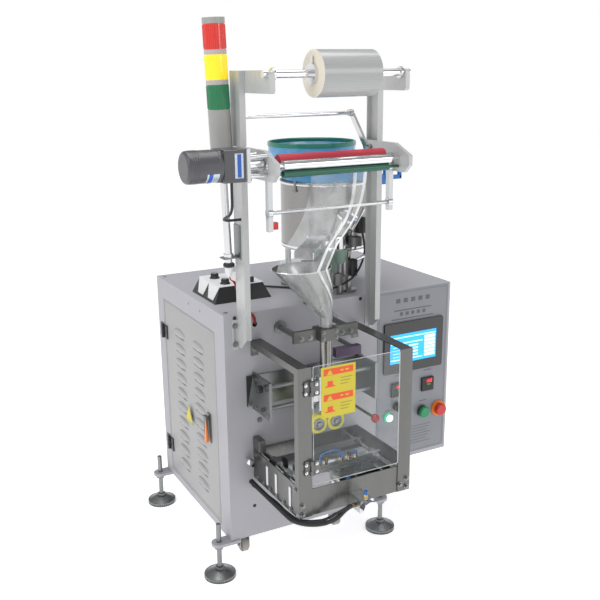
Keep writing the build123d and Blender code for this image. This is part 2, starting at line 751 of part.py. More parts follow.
post_inset = 22.0
post_circle = drum_radius - post_inset
post_angles = [35.0, 155.0, 275.0]
with BuildPart() as hopper_stand:
    with Locations((*drum_centre, base_plate_height)):
        Cylinder(
            drum_radius - sheet - 0.3,
            base_plate,
            align=(Align.CENTER, Align.CENTER, Align.MIN),
        )
    for spot, radius in ((drop_point, cup_radius + 2), (drum_centre, 12)):
        low, high = base_plate_height - 1, base_plate_height + base_plate + 1
        rod((*spot, low), (*spot, high), radius, Mode.SUBTRACT)
    for angle in post_angles:
        x = drum_centre[0] + post_circle * cos(radians(angle))
        y = drum_centre[1] + post_circle * sin(radians(angle))
        rod((x, y, cabinet_top), (x, y, base_plate_height), 10)
        rod((x, y, cabinet_top), (x, y, cabinet_top + 8), 26)
write(hopper_stand, "hopper_stand")

disc_low = base_plate_height + base_plate + 0.4
with BuildPart() as metering_disc:
    with Locations((*drum_centre, disc_low)):
        Cylinder(disc_radius, disc_thick, align=(Align.CENTER, Align.CENTER, Align.MIN))
    with Locations((*drum_centre, disc_low - 1)):
        with PolarLocations(cup_circle, cup_count):
            Cylinder(
                cup_radius,
                disc_thick + 2,
                align=(Align.CENTER, Align.CENTER, Align.MIN),
                mode=Mode.SUBTRACT,
            )
    with Locations((*drum_centre, disc_low + disc_thick)):
        Cone(34, 8, 46, align=(Align.CENTER, Align.CENTER, Align.MIN))
    rod((*drum_centre, base_plate_height - 14), (*drum_centre, disc_low + 1), 8)
write(metering_disc, "metering_disc")

with BuildPart() as disc_motor:
    motor_top = base_plate_height - touch
    with Locations((*drum_centre, motor_top - 46)):
        Box(92, 92, 46, align=(Align.CENTER, Align.CENTER, Align.MIN))
    fillet(disc_motor.edges().filter_by(Axis.Z), radius=8)
    rod((*drum_centre, motor_top - 150), (*drum_centre, motor_top - 46), 43)
    rod((*drum_centre, motor_top - 16), (*drum_centre, motor_top + 1), 8 + running, Mode.SUBTRACT)
write(disc_motor, "disc_motor")

shaker_low = tray_top - tray_depth - 62.0
shaker_at = tray_length * 0.52
shaker_centre = (drop_point[0] + cup_way.X * shaker_at, drop_point[1] + cup_way.Y * shaker_at)
with BuildPart() as feed_chute:
    # vibrating block, its leaf springs and its pillar
    with BuildSketch(tray_plane.offset(-62)):
        with Locations((shaker_at, 0)):
            Rectangle(96, 56)
    extrude(amount=44)
    fillet(feed_chute.edges().filter_by(Axis.Z), radius=6)
    with BuildSketch(tray_plane.offset(-18)):
        with Locations((shaker_at - 30, 0), (shaker_at + 30, 0)):
            Rectangle(8, 44)
    extrude(amount=18)
    rod((*shaker_centre, cabinet_top), (*shaker_centre, shaker_low), 12)
    rod((*shaker_centre, cabinet_top), (*shaker_centre, cabinet_top + 8), 30)
    # open tray
    with BuildSketch(tray_plane):
        with Locations(((tray_length - 44) / 2 + 5, 0)):
            Rectangle(tray_length + 34, tray_width)
    extrude(amount=tray_depth)
    with BuildSketch(tray_plane.offset(sheet * 2)):
        with Locations(((tray_length - 44) / 2 + 10, 0)):
            Rectangle(tray_length + 40, tray_width - 4 * sheet)
    extrude(amount=tray_depth, mode=Mode.SUBTRACT)
write(feed_chute, "feed_chute")

# ---------------------------------------------------------------- forming funnel and tube
funnel_x = middle - funnel_offset
with BuildPart() as forming_funnel:
    for grow, mode in ((0.0, Mode.ADD), (-sheet, Mode.SUBTRACT)):
        end = 0.0 if mode is Mode.ADD else 1.0
        with BuildSketch(Plane.XY.offset(funnel_neck)):
            with Locations((middle, tube_y)):
                Circle(tube_radius + grow)
        with BuildSketch(Plane.XY.offset(funnel_top)):
            with Locations((funnel_x, tube_y)):
                Ellipse(funnel_radius + grow, funnel_radius * 0.82 + grow)
        loft(mode=mode)
        with Locations((middle, tube_y, tube_bottom - end)):
            Cylinder(
                tube_radius + grow,
                funnel_neck - tube_bottom + end,
                align=(Align.CENTER, Align.CENTER, Align.MIN),
                mode=mode,
            )
write(forming_funnel, "forming_funnel")

clamp_height = 812.0
with BuildPart() as tube_bracket:
    block((middle - 110, middle + 110), (tube_y - 6, tube_y + 6), (clamp_height - 18, clamp_height + 18))
    block((middle - 30, middle + 30), (tube_y - 28, tube_y + 28), (clamp_height - 18, clamp_height + 18))
    for side in (-1, 1):
        x = middle + side * 92
        rod((x, tube_y, clamp_height), (x, front, clamp_height), 9)
        rod((x, front - 8, clamp_height), (x, front, clamp_height), 20)
    rod((middle, tube_y, clamp_height - 30), (middle, tube_y, clamp_height + 30), tube_radius, Mode.SUBTRACT)
write(tube_bracket, "tube_bracket")

# ---------------------------------------------------------------- guard frame and door
guard_left = middle - guard_width / 2
guard_right = middle + guard_width / 2
guard_front = front - guard_reach
tab_width = 24.0
lip = 20.0
door_x = (guard_left + post_width + 3, guard_right - post_width - 3)
door_plane = (guard_front - guard_sheet - door_sheet, guard_front - guard_sheet)
guard_hinge_x = door_x[0] - 6.0
guard_hinge_y = door_plane[0] - 3.0
guard_hinge_z = [box_top + 34.0, guard_top - 84.0]
guard_leaf = 44.0
with BuildPart() as guard_frame:
    block((guard_left, guard_left + 36), (guard_front, front), (guard_top - guard_sheet, guard_top))
    block((guard_left, guard_left + guard_sheet), (guard_front, front), (guard_top - lip, guard_top))
    block(
        (guard_left, guard_left + post_width),
        (guard_front - guard_sheet, guard_front),
        (guard_bottom, guard_top),
    )
    block(
        (guard_left, guard_left + guard_sheet),
        (guard_front, guard_front + lip),
        (guard_bottom, guard_top - lip),
    )
    block((guard_left, guard_left + guard_sheet), (guard_front, front), (guard_bottom, box_top))
    for low, high in ((guard_bottom, box_top), (guard_top - 50, guard_top)):
        block((guard_left, guard_left + tab_width), (front - guard_sheet, front), (low, high))
    mirror(about=Plane.YZ.offset(middle))
    for z in guard_hinge_z:
        block(
            (guard_hinge_x - 22, guard_hinge_x - 5.5),
            (guard_front - guard_sheet - 5, guard_front - guard_sheet),
            (z, z + guard_leaf),
        )
        for low in (z, z + guard_leaf * 0.7):
            high = low + guard_leaf * 0.3
            rod((guard_hinge_x, guard_hinge_y, low), (guard_hinge_x, guard_hinge_y, high), 5)
            block((guard_hinge_x - 7, guard_hinge_x), (guard_hinge_y - 3, guard_front - guard_sheet), (low, high))
        rod((guard_hinge_x, guard_hinge_y, z), (guard_hinge_x, guard_hinge_y, z + guard_leaf), 2)
write(guard_frame, "guard_frame")
with BuildPart() as guard_door:
    block(door_x, door_plane, (box_top, guard_top))
    fillet(guard_door.edges().filter_by(Axis.Y), radius=6)
    for z in guard_hinge_z:
        low = z + guard_leaf * 0.3 + touch
        high = z + guard_leaf * 0.7 - touch
        block((guard_hinge_x + 7, guard_hinge_x + 24), (door_plane[0] - 4, door_plane[0]), (z, z + guard_leaf))
        block((guard_hinge_x, guard_hinge_x + 9), (door_plane[0] - 4, door_plane[0]), (low, high))
        rod((guard_hinge_x, guard_hinge_y, low), (guard_hinge_x, guard_hinge_y, high), 5)
        low, high = low - 1, high + 1
        rod((guard_hinge_x, guard_hinge_y, low), (guard_hinge_x, guard_hinge_y, high), 2 + running, Mode.SUBTRACT)
write(guard_door, "guard_door")

# ---------------------------------------------------------------- cross sealing jaws
rod_spots = (middle - 150.0, middle + 150.0)
jaw_x = (middle - jaw_length / 2, middle + jaw_length / 2)
cylinder_x = (middle - cylinder_side / 2, middle + cylinder_side / 2)
cylinder_z = (cylinder_height - cylinder_side / 2, cylinder_height + cylinder_side / 2)
cylinder_y = (front - cylinder_reach, front - cylinder_reach + cylinder_length)
with BuildPart() as sealing_box:
    inner = (guard_left + guard_sheet, guard_right - guard_sheet)
    block(inner, (guard_front, guard_front + guard_sheet), (guard_bottom, guard_bottom + 84))
    block((guard_left + tab_width, guard_right - tab_width), (front - 6, front), (guard_bottom, box_top))
    for x in inner:
        tab = sorted((x, x + (20 if x < middle else -20)))
        block(tab, (guard_front, guard_front + guard_sheet), (guard_bottom, box_top))
    block(
        (cylinder_x[0] - touch, cylinder_x[1] + touch),
        (guard_front - 1, guard_front + guard_sheet + 1),
        (cylinder_z[0] - touch, cylinder_z[1] + touch),
        Mode.SUBTRACT,
    )
    for x in rod_spots:
        rod((x, guard_front + 1, jaw_height), (x, front, jaw_height), guide_rod_radius)
        rod((x, guard_front + 2, jaw_height), (x, guard_front + 18, jaw_height), guide_rod_radius + 8)
write(sealing_box, "sealing_box")

with BuildPart() as air_cylinder:
    block(cylinder_x, (cylinder_y[0] + 22, cylinder_y[1]), cylinder_z)
    fillet(air_cylinder.edges().filter_by(Axis.Y), radius=5)
    cap = cylinder_side / 2 + 2
    rod((middle, cylinder_y[0], cylinder_height), (middle, cylinder_y[0] + 23, cylinder_height), cap)
    rod(
        (middle, cylinder_y[1] - 40, cylinder_height),
        (middle, cylinder_y[1] + 1, cylinder_height),
        5 + running,
        Mode.SUBTRACT,
    )
write(air_cylinder, "air_cylinder")

carrier = 26.0
for name, face, way in (("jaw_front", tube_y - jaw_open, -1), ("jaw_back", tube_y + jaw_open, 1)):
    with BuildPart() as jaw:
        blade = sorted((face, face + way * jaw_size))
        plate = sorted((face + way * jaw_size, face + way * (jaw_size + 12)))
        block(jaw_x, blade, (jaw_height - jaw_size / 2, jaw_height + jaw_size / 2))
        half = carrier / 2
        block((rod_spots[0] - 16, rod_spots[1] + 16), plate, (jaw_height - half, jaw_height + half))
        for x in rod_spots:
            bush = sorted((face + way * (jaw_size - 22), face + way * (jaw_size + 22)))
            rod((x, bush[0], jaw_height), (x, bush[1], jaw_height), 13)
            bore = guide_rod_radius + running
            rod((x, bush[0] - 1, jaw_height), (x, bush[1] + 1, jaw_height), bore, Mode.SUBTRACT)
        if way < 0:
            y = plate[0]
            block((middle - 14, middle + 14), (y, y + 12), (cylinder_height - 14, jaw_height))
            rod((middle, cylinder_y[1] - 36, cylinder_height), (middle, y + 1, cylinder_height), 5)
    write(jaw, name)

# ---------------------------------------------------------------- lengthwise sealing bars and pull wheels
seal_rod_y = front - 84.0
seal_rods = (seal_height + 34.0, seal_height - 34.0)
frame_x = (middle - 186.0, middle + 186.0)
lever_x = middle + 118.0
lever_z = pull_height + 22.0
lever_y = front - 62.0
with BuildPart() as seal_frame:
    for x in frame_x:
        block((x - 4, x + 4), (seal_rod_y - 36, front), (seal_height - 60, seal_height + 60))
    block((frame_x[0] - 24, frame_x[1] + 24), (front - 6, front), (seal_height - 50, seal_height + 50))
    for z in seal_rods:
        cross_bar(frame_x[0] - 12, frame_x[1] + 12, seal_rod_y, z, guide_rod_radius)
    cross_bar(frame_x[0] - 26, frame_x[0] - 12, seal_rod_y, seal_rods[0], 12)
    rod((middle + 125, front, seal_height + 112), (middle + 125, tube_y + 20, seal_height + 112), 7)
    block(
        (middle + 42, middle + 132),
        (tube_y + 8, tube_y + 30),
        (seal_height + 100, seal_height + 128),
    )
    # bracket that carries the release lever
    block((lever_x - 20, lever_x + 20), (front - 5, front), (lever_z - 24, lever_z + 24))
    for side in (-1, 1):
        ear = sorted((lever_x + side * 8.3, lever_x + side * 13))
        block(ear, (lever_y - 12, front - 5), (lever_z - 12, lever_z + 12))
    cross_bar(lever_x - 16, lever_x + 16, lever_y, lever_z, 5)
write(seal_frame, "seal_frame")

for name, way in (("seal_bar_left", -1), ("seal_bar_right", 1)):
    with BuildPart() as seal_bar:
        face = middle + way * seal_open
        bar = sorted((face, face + way * 18))
        block(bar, (tube_y - 10, tube_y + 10), (seal_height - seal_length / 2, seal_height + seal_length / 2))
        stem = sorted((face + way * 18, face + way * 46))
        block(stem, (tube_y - 8, tube_y + 8), (seal_height - 22, seal_height + 22))
        slide = sorted((face + way * 30, face + way * 70))
        block(slide, (tube_y + 8, seal_rod_y + 14), (seal_height - 50, seal_height + 50))
        for z in seal_rods:
            cross_bar(slide[0] - 1, slide[1] + 1, seal_rod_y, z, guide_rod_radius + running, Mode.SUBTRACT)
    write(seal_bar, name)

for name, x in (("pull_wheel_left", pull_x[0]), ("pull_wheel_right", pull_x[1])):
    with BuildPart() as pull_wheel:
        rod((x, tube_y - pull_width / 2, pull_height), (x, tube_y + pull_width / 2, pull_height), pull_radius)
        fillet(pull_wheel.edges().filter_by(GeomType.CIRCLE), radius=1.5)
        rod((x, tube_y - pull_width / 2 - 8, pull_height), (x, front + 60, pull_height), pull_shaft_radius)
        rod((x, front + 30, pull_height), (x, front + 44, pull_height), 18)
    write(pull_wheel, name)

with BuildPart() as release_lever:
    cross_bar(lever_x - 8, lever_x + 8, lever_y, lever_z, 13)
    rod((lever_x, lever_y, lever_z), (lever_x, front - 212, lever_z), 4.5)
    with Locations((lever_x, front - 222, lever_z)):
        Sphere(14)
    cross_bar(lever_x - 9, lever_x + 9, lever_y, lever_z, 5 + running, Mode.SUBTRACT)
write(release_lever, "release_lever")

# ---------------------------------------------------------------- hoses and cables held at both ends
conduit_y = cylinder_y[0] + 48.0
plug = (left - 20.0, drive_y + 22.0)
hose_rise = cylinder_x[0] - 26.0
cable_low = drive_z - 168.0
hoses = [
    (
        (
            (hose_hole[0], front + 10, hose_hole[1]),
            (hose_hole[0], conduit_y, hose_hole[1]),
            (hose_rise - 40, conduit_y, hose_hole[1]),
            (hose_rise, conduit_y, cylinder_height),
            (cylinder_x[0], conduit_y, cylinder_height),
        ),
        (80.0, 65.0, 65.0),
        6.5,
    ),
    (
        (
            (*plug, drive_z - gearbox_side / 2),
            (*plug, cable_low + 35),
            (plug[0], front - 48, cable_low),
            (column_left, front - 48, cable_low),
        ),
        (40.0, 40.0),
        3.9,
    ),
]
with BuildPart() as cables:
    for points, bends, radius in hoses:
        with BuildLine() as route:
            FilletPolyline(*points, radius=bends)
        with BuildSketch(Plane(origin=route.line @ 0, z_dir=route.line % 0)):
            Circle(radius)
        sweep()
        print("cable length", round(route.wire().length, 1), "bend radii", bends, "radius", radius)
write(cables, "cables")
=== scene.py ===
"""Looks of an upright film packing machine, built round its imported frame.

Metres, +Z up, +X to the machine's right, -Y towards the operator.
"""

import logging
import math
from collections.abc import Callable, Sequence
from dataclasses import dataclass
from enum import Enum

import bmesh
import bpy
from mathutils import Matrix, Vector


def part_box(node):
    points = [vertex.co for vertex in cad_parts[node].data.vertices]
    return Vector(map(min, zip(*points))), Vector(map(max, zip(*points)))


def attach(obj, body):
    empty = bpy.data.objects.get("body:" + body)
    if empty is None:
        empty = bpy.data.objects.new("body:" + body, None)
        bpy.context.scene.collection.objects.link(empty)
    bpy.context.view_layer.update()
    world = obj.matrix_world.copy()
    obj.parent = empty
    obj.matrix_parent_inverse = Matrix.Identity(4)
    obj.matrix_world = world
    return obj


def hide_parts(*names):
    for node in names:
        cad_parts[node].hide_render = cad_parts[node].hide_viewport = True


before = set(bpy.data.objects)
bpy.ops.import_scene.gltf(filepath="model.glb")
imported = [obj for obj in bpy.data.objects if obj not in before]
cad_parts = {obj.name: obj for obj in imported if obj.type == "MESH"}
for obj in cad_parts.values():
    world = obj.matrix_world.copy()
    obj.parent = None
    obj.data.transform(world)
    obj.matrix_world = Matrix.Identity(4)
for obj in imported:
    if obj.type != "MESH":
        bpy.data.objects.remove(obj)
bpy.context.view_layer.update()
log = logging.getLogger("packing_machine")
Test = Callable[[Vector, Vector], bool]
X, Y, Z = Vector((1, 0, 0)), Vector((0, 1, 0)), Vector((0, 0, 1))


# ---------------------------------------------------------------- finishes
class Surface(Enum):
    """How a finish's grain is laid down."""

    EVEN = (1.0, 1.0, 1.0)
    BRUSHED_X = (0.03, 1.0, 1.0)
    BRUSHED_Y = (1.0, 0.03, 1.0)
    BRUSHED_Z = (1.0, 1.0, 0.03)


@dataclass(frozen=True)
class Finish:
    """One real finish: its colour, how it shines and the grain it carries."""

    name: str
    colour: tuple[float, float, float]
    roughness: float = 0.45
    metallic: float = 0.0
    surface: Surface = Surface.EVEN
    grain: float = 900.0
    relief: float = 0.12
    mottle: float = 0.06
    solid: float = 1.0
    glow: float = 0.0
    coat: float = 0.0

    def material(self) -> bpy.types.Material:
        """Build this finish's node material, or hand back the one already built.

        Returns:
            The material.
        """
        found = bpy.data.materials.get("finish_" + self.name)
        if found:
            return found
        made = bpy.data.materials.new("finish_" + self.name)
        made.use_nodes = True
        nodes, links = made.node_tree.nodes, made.node_tree.links
        shader = nodes["Principled BSDF"]
        shader.inputs["Metallic"].default_value = self.metallic
        shader.inputs["Coat Weight"].default_value = self.coat
        shader.inputs["Coat Roughness"].default_value = 0.08
        place = nodes.new("ShaderNodeTexCoord")
        stretch = nodes.new("ShaderNodeMapping")
        stretch.inputs["Scale"].default_value = self.surface.value
        links.new(place.outputs["Object"], stretch.inputs["Vector"])
        fine = self._noise(made, stretch.outputs["Vector"], self.grain, 3.0)
        broad = self._noise(made, stretch.outputs["Vector"], 7.0, 4.0)
        mix = nodes.new("ShaderNodeMix")
        mix.data_type = "RGBA"
        dark = tuple(c * (1 - self.mottle) for c in self.colour)
        light = tuple(min(1.0, c * (1 + self.mottle)) for c in self.colour)
        mix.inputs["A"].default_value = (*dark, 1.0)
        mix.inputs["B"].default_value = (*light, 1.0)
        links.new(broad, mix.inputs["Factor"])
        links.new(mix.outputs["Result"], shader.inputs["Base Color"])
        spread = 0.25 * self.roughness
        self._range(made, fine, shader.inputs["Roughness"], self.roughness - spread, self.roughness + spread)
        bump = nodes.new("ShaderNodeBump")
        bump.inputs["Strength"].default_value = self.relief
        bump.inputs["Distance"].default_value = 0.0004
        links.new(fine, bump.inputs["Height"])
        links.new(bump.outputs["Normal"], shader.inputs["Normal"])
        if self.glow:
            links.new(mix.outputs["Result"], shader.inputs["Emission Color"])
            shader.inputs["Emission Strength"].default_value = self.glow
        if self.solid < 1.0:
            # Patchy opacity: on the pale film it paints streaks of highlight, a painted highlight; on the
            # other clear finishes it is smudging.
            sheen_and_smudge = self._noise(made, stretch.outputs["Vector"], 16.0, 5.0)
            self._range(made, sheen_and_smudge, shader.inputs["Alpha"], self.solid * 0.6, min(1.0, self.solid * 1.4))
        return made

    @staticmethod
    def _noise(
        made: bpy.types.Material, place: bpy.types.NodeSocket, scale: float, detail: float
    ) -> bpy.types.NodeSocket:
        """Add a noise texture.

        Args:
            made: The material it goes in.
            place: The coordinates it reads.
            scale: Cells per metre.
            detail: Octaves.

        Returns:
            Its value output.
        """
        noise = made.node_tree.nodes.new("ShaderNodeTexNoise")
        noise.inputs["Scale"].default_value = scale
        noise.inputs["Detail"].default_value = detail
        made.node_tree.links.new(place, noise.inputs["Vector"])
        return noise.outputs["Fac"]

    @staticmethod
    def _range(
        made: bpy.types.Material, value: bpy.types.NodeSocket, to: bpy.types.NodeSocket, low: float,
        high: float
    ) -> None:
        """Feed a noise value into a shader input, spread between two limits.

        Args:
            made: The material.
            value: The noise output.
            to: The shader input.
            low: The input's value where the noise is low.
            high: Its value where the noise is high.
        """
        node = made.node_tree.nodes.new("ShaderNodeMapRange")
        node.inputs["From Min"].default_value = 0.3
        node.inputs["From Max"].default_value = 0.7
        node.inputs["To Min"].default_value = low
        node.inputs["To Max"].default_value = high
        made.node_tree.links.new(value, node.inputs["Value"])
        made.node_tree.links.new(node.outputs["Result"], to)


class Coat:
    """Every finish on the machine."""

    GREY = Finish("grey_powder_coat", (0.40, 0.40, 0.435), 0.5, grain=2600, relief=0.25, mottle=0.03)
    DOOR = Finish("door_powder_coat", (0.38, 0.38, 0.385), 0.5, grain=2600, relief=0.25, mottle=0.03)
    PANEL = Finish("panel_silver", (0.24, 0.25, 0.275), 0.42, 0.25, Surface.BRUSHED_X, 500, 0.06, 0.05)
    PRINT = Finish("panel_print", (0.12, 0.12, 0.14), 0.6, grain=1500)
    WHITE = Finish("white_alloy", (0.50, 0.51, 0.51), 0.34, 0.15, Surface.BRUSHED_Z, 700, 0.08, 0.05)
    LIGHT = Finish("white_sheet", (0.72, 0.73, 0.74), 0.4, grain=1800, relief=0.15, mottle=0.03)
    STEEL = Finish("brushed_stainless", (0.31, 0.305, 0.30), 0.25, 1.0, Surface.BRUSHED_Z, 900, 0.12, 0.16)
    SHEET = Finish("stainless_sheet", (0.165, 0.165, 0.162), 0.32, 0.9, Surface.BRUSHED_Z, 700, 0.15, 0.16)
    CHROME = Finish("polished_steel", (0.75, 0.75, 0.77), 0.12, 1.0, Surface.BRUSHED_X, 1200, 0.04, 0.05)
    ZINC = Finish("zinc_plate", (0.26, 0.27, 0.27), 0.34, 1.0, grain=500, relief=0.12, mottle=0.2)
    BRIGHT = Finish("machined_aluminium", (0.62, 0.63, 0.64), 0.28, 0.95, Surface.BRUSHED_X, 900, 0.1, 0.1)
    DARK = Finish("blackened_steel", (0.16, 0.16, 0.155), 0.38, 0.8, grain=900, relief=0.2, mottle=0.25)
    BLACK = Finish("black_plastic", (0.018, 0.018, 0.02), 0.42, grain=1600, relief=0.15, mottle=0.2)
    MOTOR = Finish(
        "black_motor_paint", (0.075, 0.075, 0.085), 0.36, grain=1500, relief=0.2, mottle=0.2, coat=0.2
    )
    GLOSS = Finish("black_gloss", (0.02, 0.02, 0.022), 0.12, grain=900, relief=0.02, mottle=0.1, coat=0.5)
    RED_RUBBER = Finish("red_roller_rubber", (0.52, 0.035, 0.06), 0.55, grain=1400, relief=0.3, mottle=0.1)
    YELLOW = Finish("yellow_rubber", (0.82, 0.75, 0.03), 0.5, grain=1200, relief=0.2)
    TYRE = Finish("caster_rubber", (0.35, 0.33, 0.30), 0.6, grain=900, relief=0.25)
    TOWER = Finish("tower_grey", (0.34, 0.34, 0.33), 0.4, grain=1500, relief=0.1)
    TOWER_LIGHT = Finish("tower_collar", (0.46, 0.43, 0.42), 0.4, grain=1500, relief=0.1)
    LENS_GREEN = Finish("green_lens", (0.0, 0.20, 0.07), 0.18, grain=300, coat=0.6, mottle=0.15)
    LENS_YELLOW = Finish("yellow_lens", (0.95, 0.72, 0.01), 0.18, grain=300, coat=0.6, glow=0.25)
    LENS_RED = Finish("red_lens", (0.66, 0.02, 0.01), 0.18, grain=300, coat=0.6, mottle=0.15, glow=0.1)
    BLUE_TINT = Finish(
        "blue_clear_shell", (0.08, 0.34, 0.64), 0.16, grain=200, coat=0.5, mottle=0.25, solid=0.6
    )
    BLUE = Finish("blue_plastic", (0.01, 0.13, 0.45), 0.3, grain=900, coat=0.3)
    GREEN_RIM = Finish("dark_green_rim", (0.0, 0.16, 0.11), 0.3, grain=900, coat=0.3)
    GREEN_PAINT = Finish("green_paint", (0.20, 0.30, 0.25), 0.4, grain=1200, mottle=0.12)
    DARK_GREEN = Finish("dark_green_bar", (0.03, 0.12, 0.08), 0.3, 0.3, grain=1200)
    ROLL = Finish(
        "film_roll_side", (0.38, 0.39, 0.39), 0.28, 0.0, Surface.BRUSHED_X, 700, 0.1, 0.05, coat=0.3
    )
    CORE = Finish("film_roll_end", (0.74, 0.70, 0.60), 0.5, grain=1200, relief=0.2, mottle=0.08)
    FILM = Finish("clear_film", (0.80, 0.83, 0.84), 0.12, grain=60, relief=0.25, solid=0.26)
    # Whiter, more opaque strips on the clear film: painted highlight.
    FILM_HIGHLIGHT = Finish("film_painted_highlight", (0.93, 0.94, 0.95), 0.15, grain=60, relief=0.3, solid=0.75)
    ACRYLIC = Finish("acrylic_sheet", (0.55, 0.60, 0.60), 0.05, grain=30, relief=0.02, solid=0.07)
    ACRYLIC_EDGE = Finish("acrylic_edge", (0.86, 0.88, 0.88), 0.3, grain=600, solid=0.9)
    SIGN = Finish("sign_yellow", (0.62, 0.52, 0.03), 0.4, grain=1200, relief=0.05)
    SIGN_RED = Finish("sign_red", (0.80, 0.09, 0.02), 0.4, grain=1200, relief=0.05)
    SIGN_BLACK = Finish("sign_grey", (0.30, 0.27, 0.05), 0.5, grain=1200, relief=0.05)
    STICKER = Finish("clear_sticker", (0.80, 0.82, 0.82), 0.2, grain=300, solid=0.35)
    ORANGE = Finish("orange_plastic", (0.85, 0.20, 0.02), 0.35, grain=1200, coat=0.2)
    GREEN_KEY = Finish("green_button", (0.0, 0.25, 0.09), 0.3, grain=900, coat=0.3)
    RED_KEY = Finish("red_button", (0.55, 0.02, 0.015), 0.3, grain=900, coat=0.3)
    RED_BALL = Finish("red_ball", (0.40, 0.02, 0.02), 0.22, grain=900, coat=0.5)
    LAMP = Finish("lit_lamp", (0.55, 1.0, 0.80), 0.2, grain=200, glow=3.0)
    LAMP_RING = Finish("lamp_ring_green", (0.05, 0.55, 0.30), 0.3, grain=200, glow=0.6)
    DIGIT = Finish("red_digit", (1.0, 0.04, 0.05), 0.4, grain=200, glow=2.2)
    DIGIT_GREEN = Finish("green_digit", (0.4, 1.0, 0.4), 0.4, grain=200, glow=1.0)
    SCREEN = Finish("screen_blue", (0.02, 0.38, 0.82), 0.2, grain=200, glow=0.9, mottle=0.12)
    SCREEN_LIGHT = Finish("screen_pale", (0.45, 0.80, 1.0), 0.2, grain=200, glow=1.0)
    SCREEN_KEY = Finish("screen_key", (0.70, 0.85, 0.72), 0.2, grain=200, glow=0.8)
    LABEL = Finish("label_silver", (0.55, 0.60, 0.68), 0.3, 0.5, grain=900)
    LABEL_BLUE = Finish("label_blue", (0.02, 0.10, 0.45), 0.35, grain=900)
    BRASS = Finish("brass", (0.66, 0.48, 0.18), 0.25, 1.0, grain=700, mottle=0.12)
    PURPLE = Finish("violet_plastic", (0.09, 0.055, 0.11), 0.35, grain=900, coat=0.2)
    CORD = Finish("cable_black", (0.02, 0.02, 0.022), 0.5, grain=700, relief=0.3)
    CORD_RED = Finish("cable_red", (0.55, 0.03, 0.02), 0.45, grain=700)
    FLOOR = Finish("pale_floor", (0.92, 0.92, 0.92), 0.8, grain=120, relief=0.04, mottle=0.01, glow=0.64)


# ---------------------------------------------------------------- where things are, from the frame
class Datum:
    """The planes that the CAD nodes give, and points measured from them."""

    right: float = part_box("control_box")[0].x
    front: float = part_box("control_box")[0].y
    top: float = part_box("control_box")[1].z
    middle: float = (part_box("columns")[0].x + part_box("columns")[1].x) / 2
    left: float = middle - 0.278

    @classmethod
    def at(cls, x: float, y: float, z: float) -> Vector:
        """Give a point from the cabinet's left face, its front face and the floor."""
        return Vector((cls.left + x, cls.front + y, z))


at = Datum.at


def node_box(name: str) -> tuple[Vector, Vector, Vector]:
    """Give a CAD node's low corner, high corner and centre."""
    low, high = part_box(name)
    return low, high, (low + high) / 2


def within(low: Vector, high: Vector) -> Test:
    """Make a test for faces whose middle lies in a box."""
    return lambda middle, normal: all(a <= m <= b for a, m, b in zip(low, middle, high))


def dress(node: str, base: Finish, *zones: tuple[Test, Finish]) -> None:
    """Give a CAD node its finishes.

    Args:
        node: The node's name.
        base: The finish of every face that no zone takes.
        zones: Tests and the finish that their faces get; the last that fits wins.
    """
    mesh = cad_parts[node].data
    mesh.materials.clear()
    mesh.materials.append(base.material())
    for _, finish in zones:
        mesh.materials.append(finish.material())
    for face in mesh.polygons:
        face.material_index = 0
        for index, (test, _) in enumerate(zones, start=1):
            if test(face.center, face.normal):
                face.material_index = index
    log.info("dressed %s in %s", node, base.name)


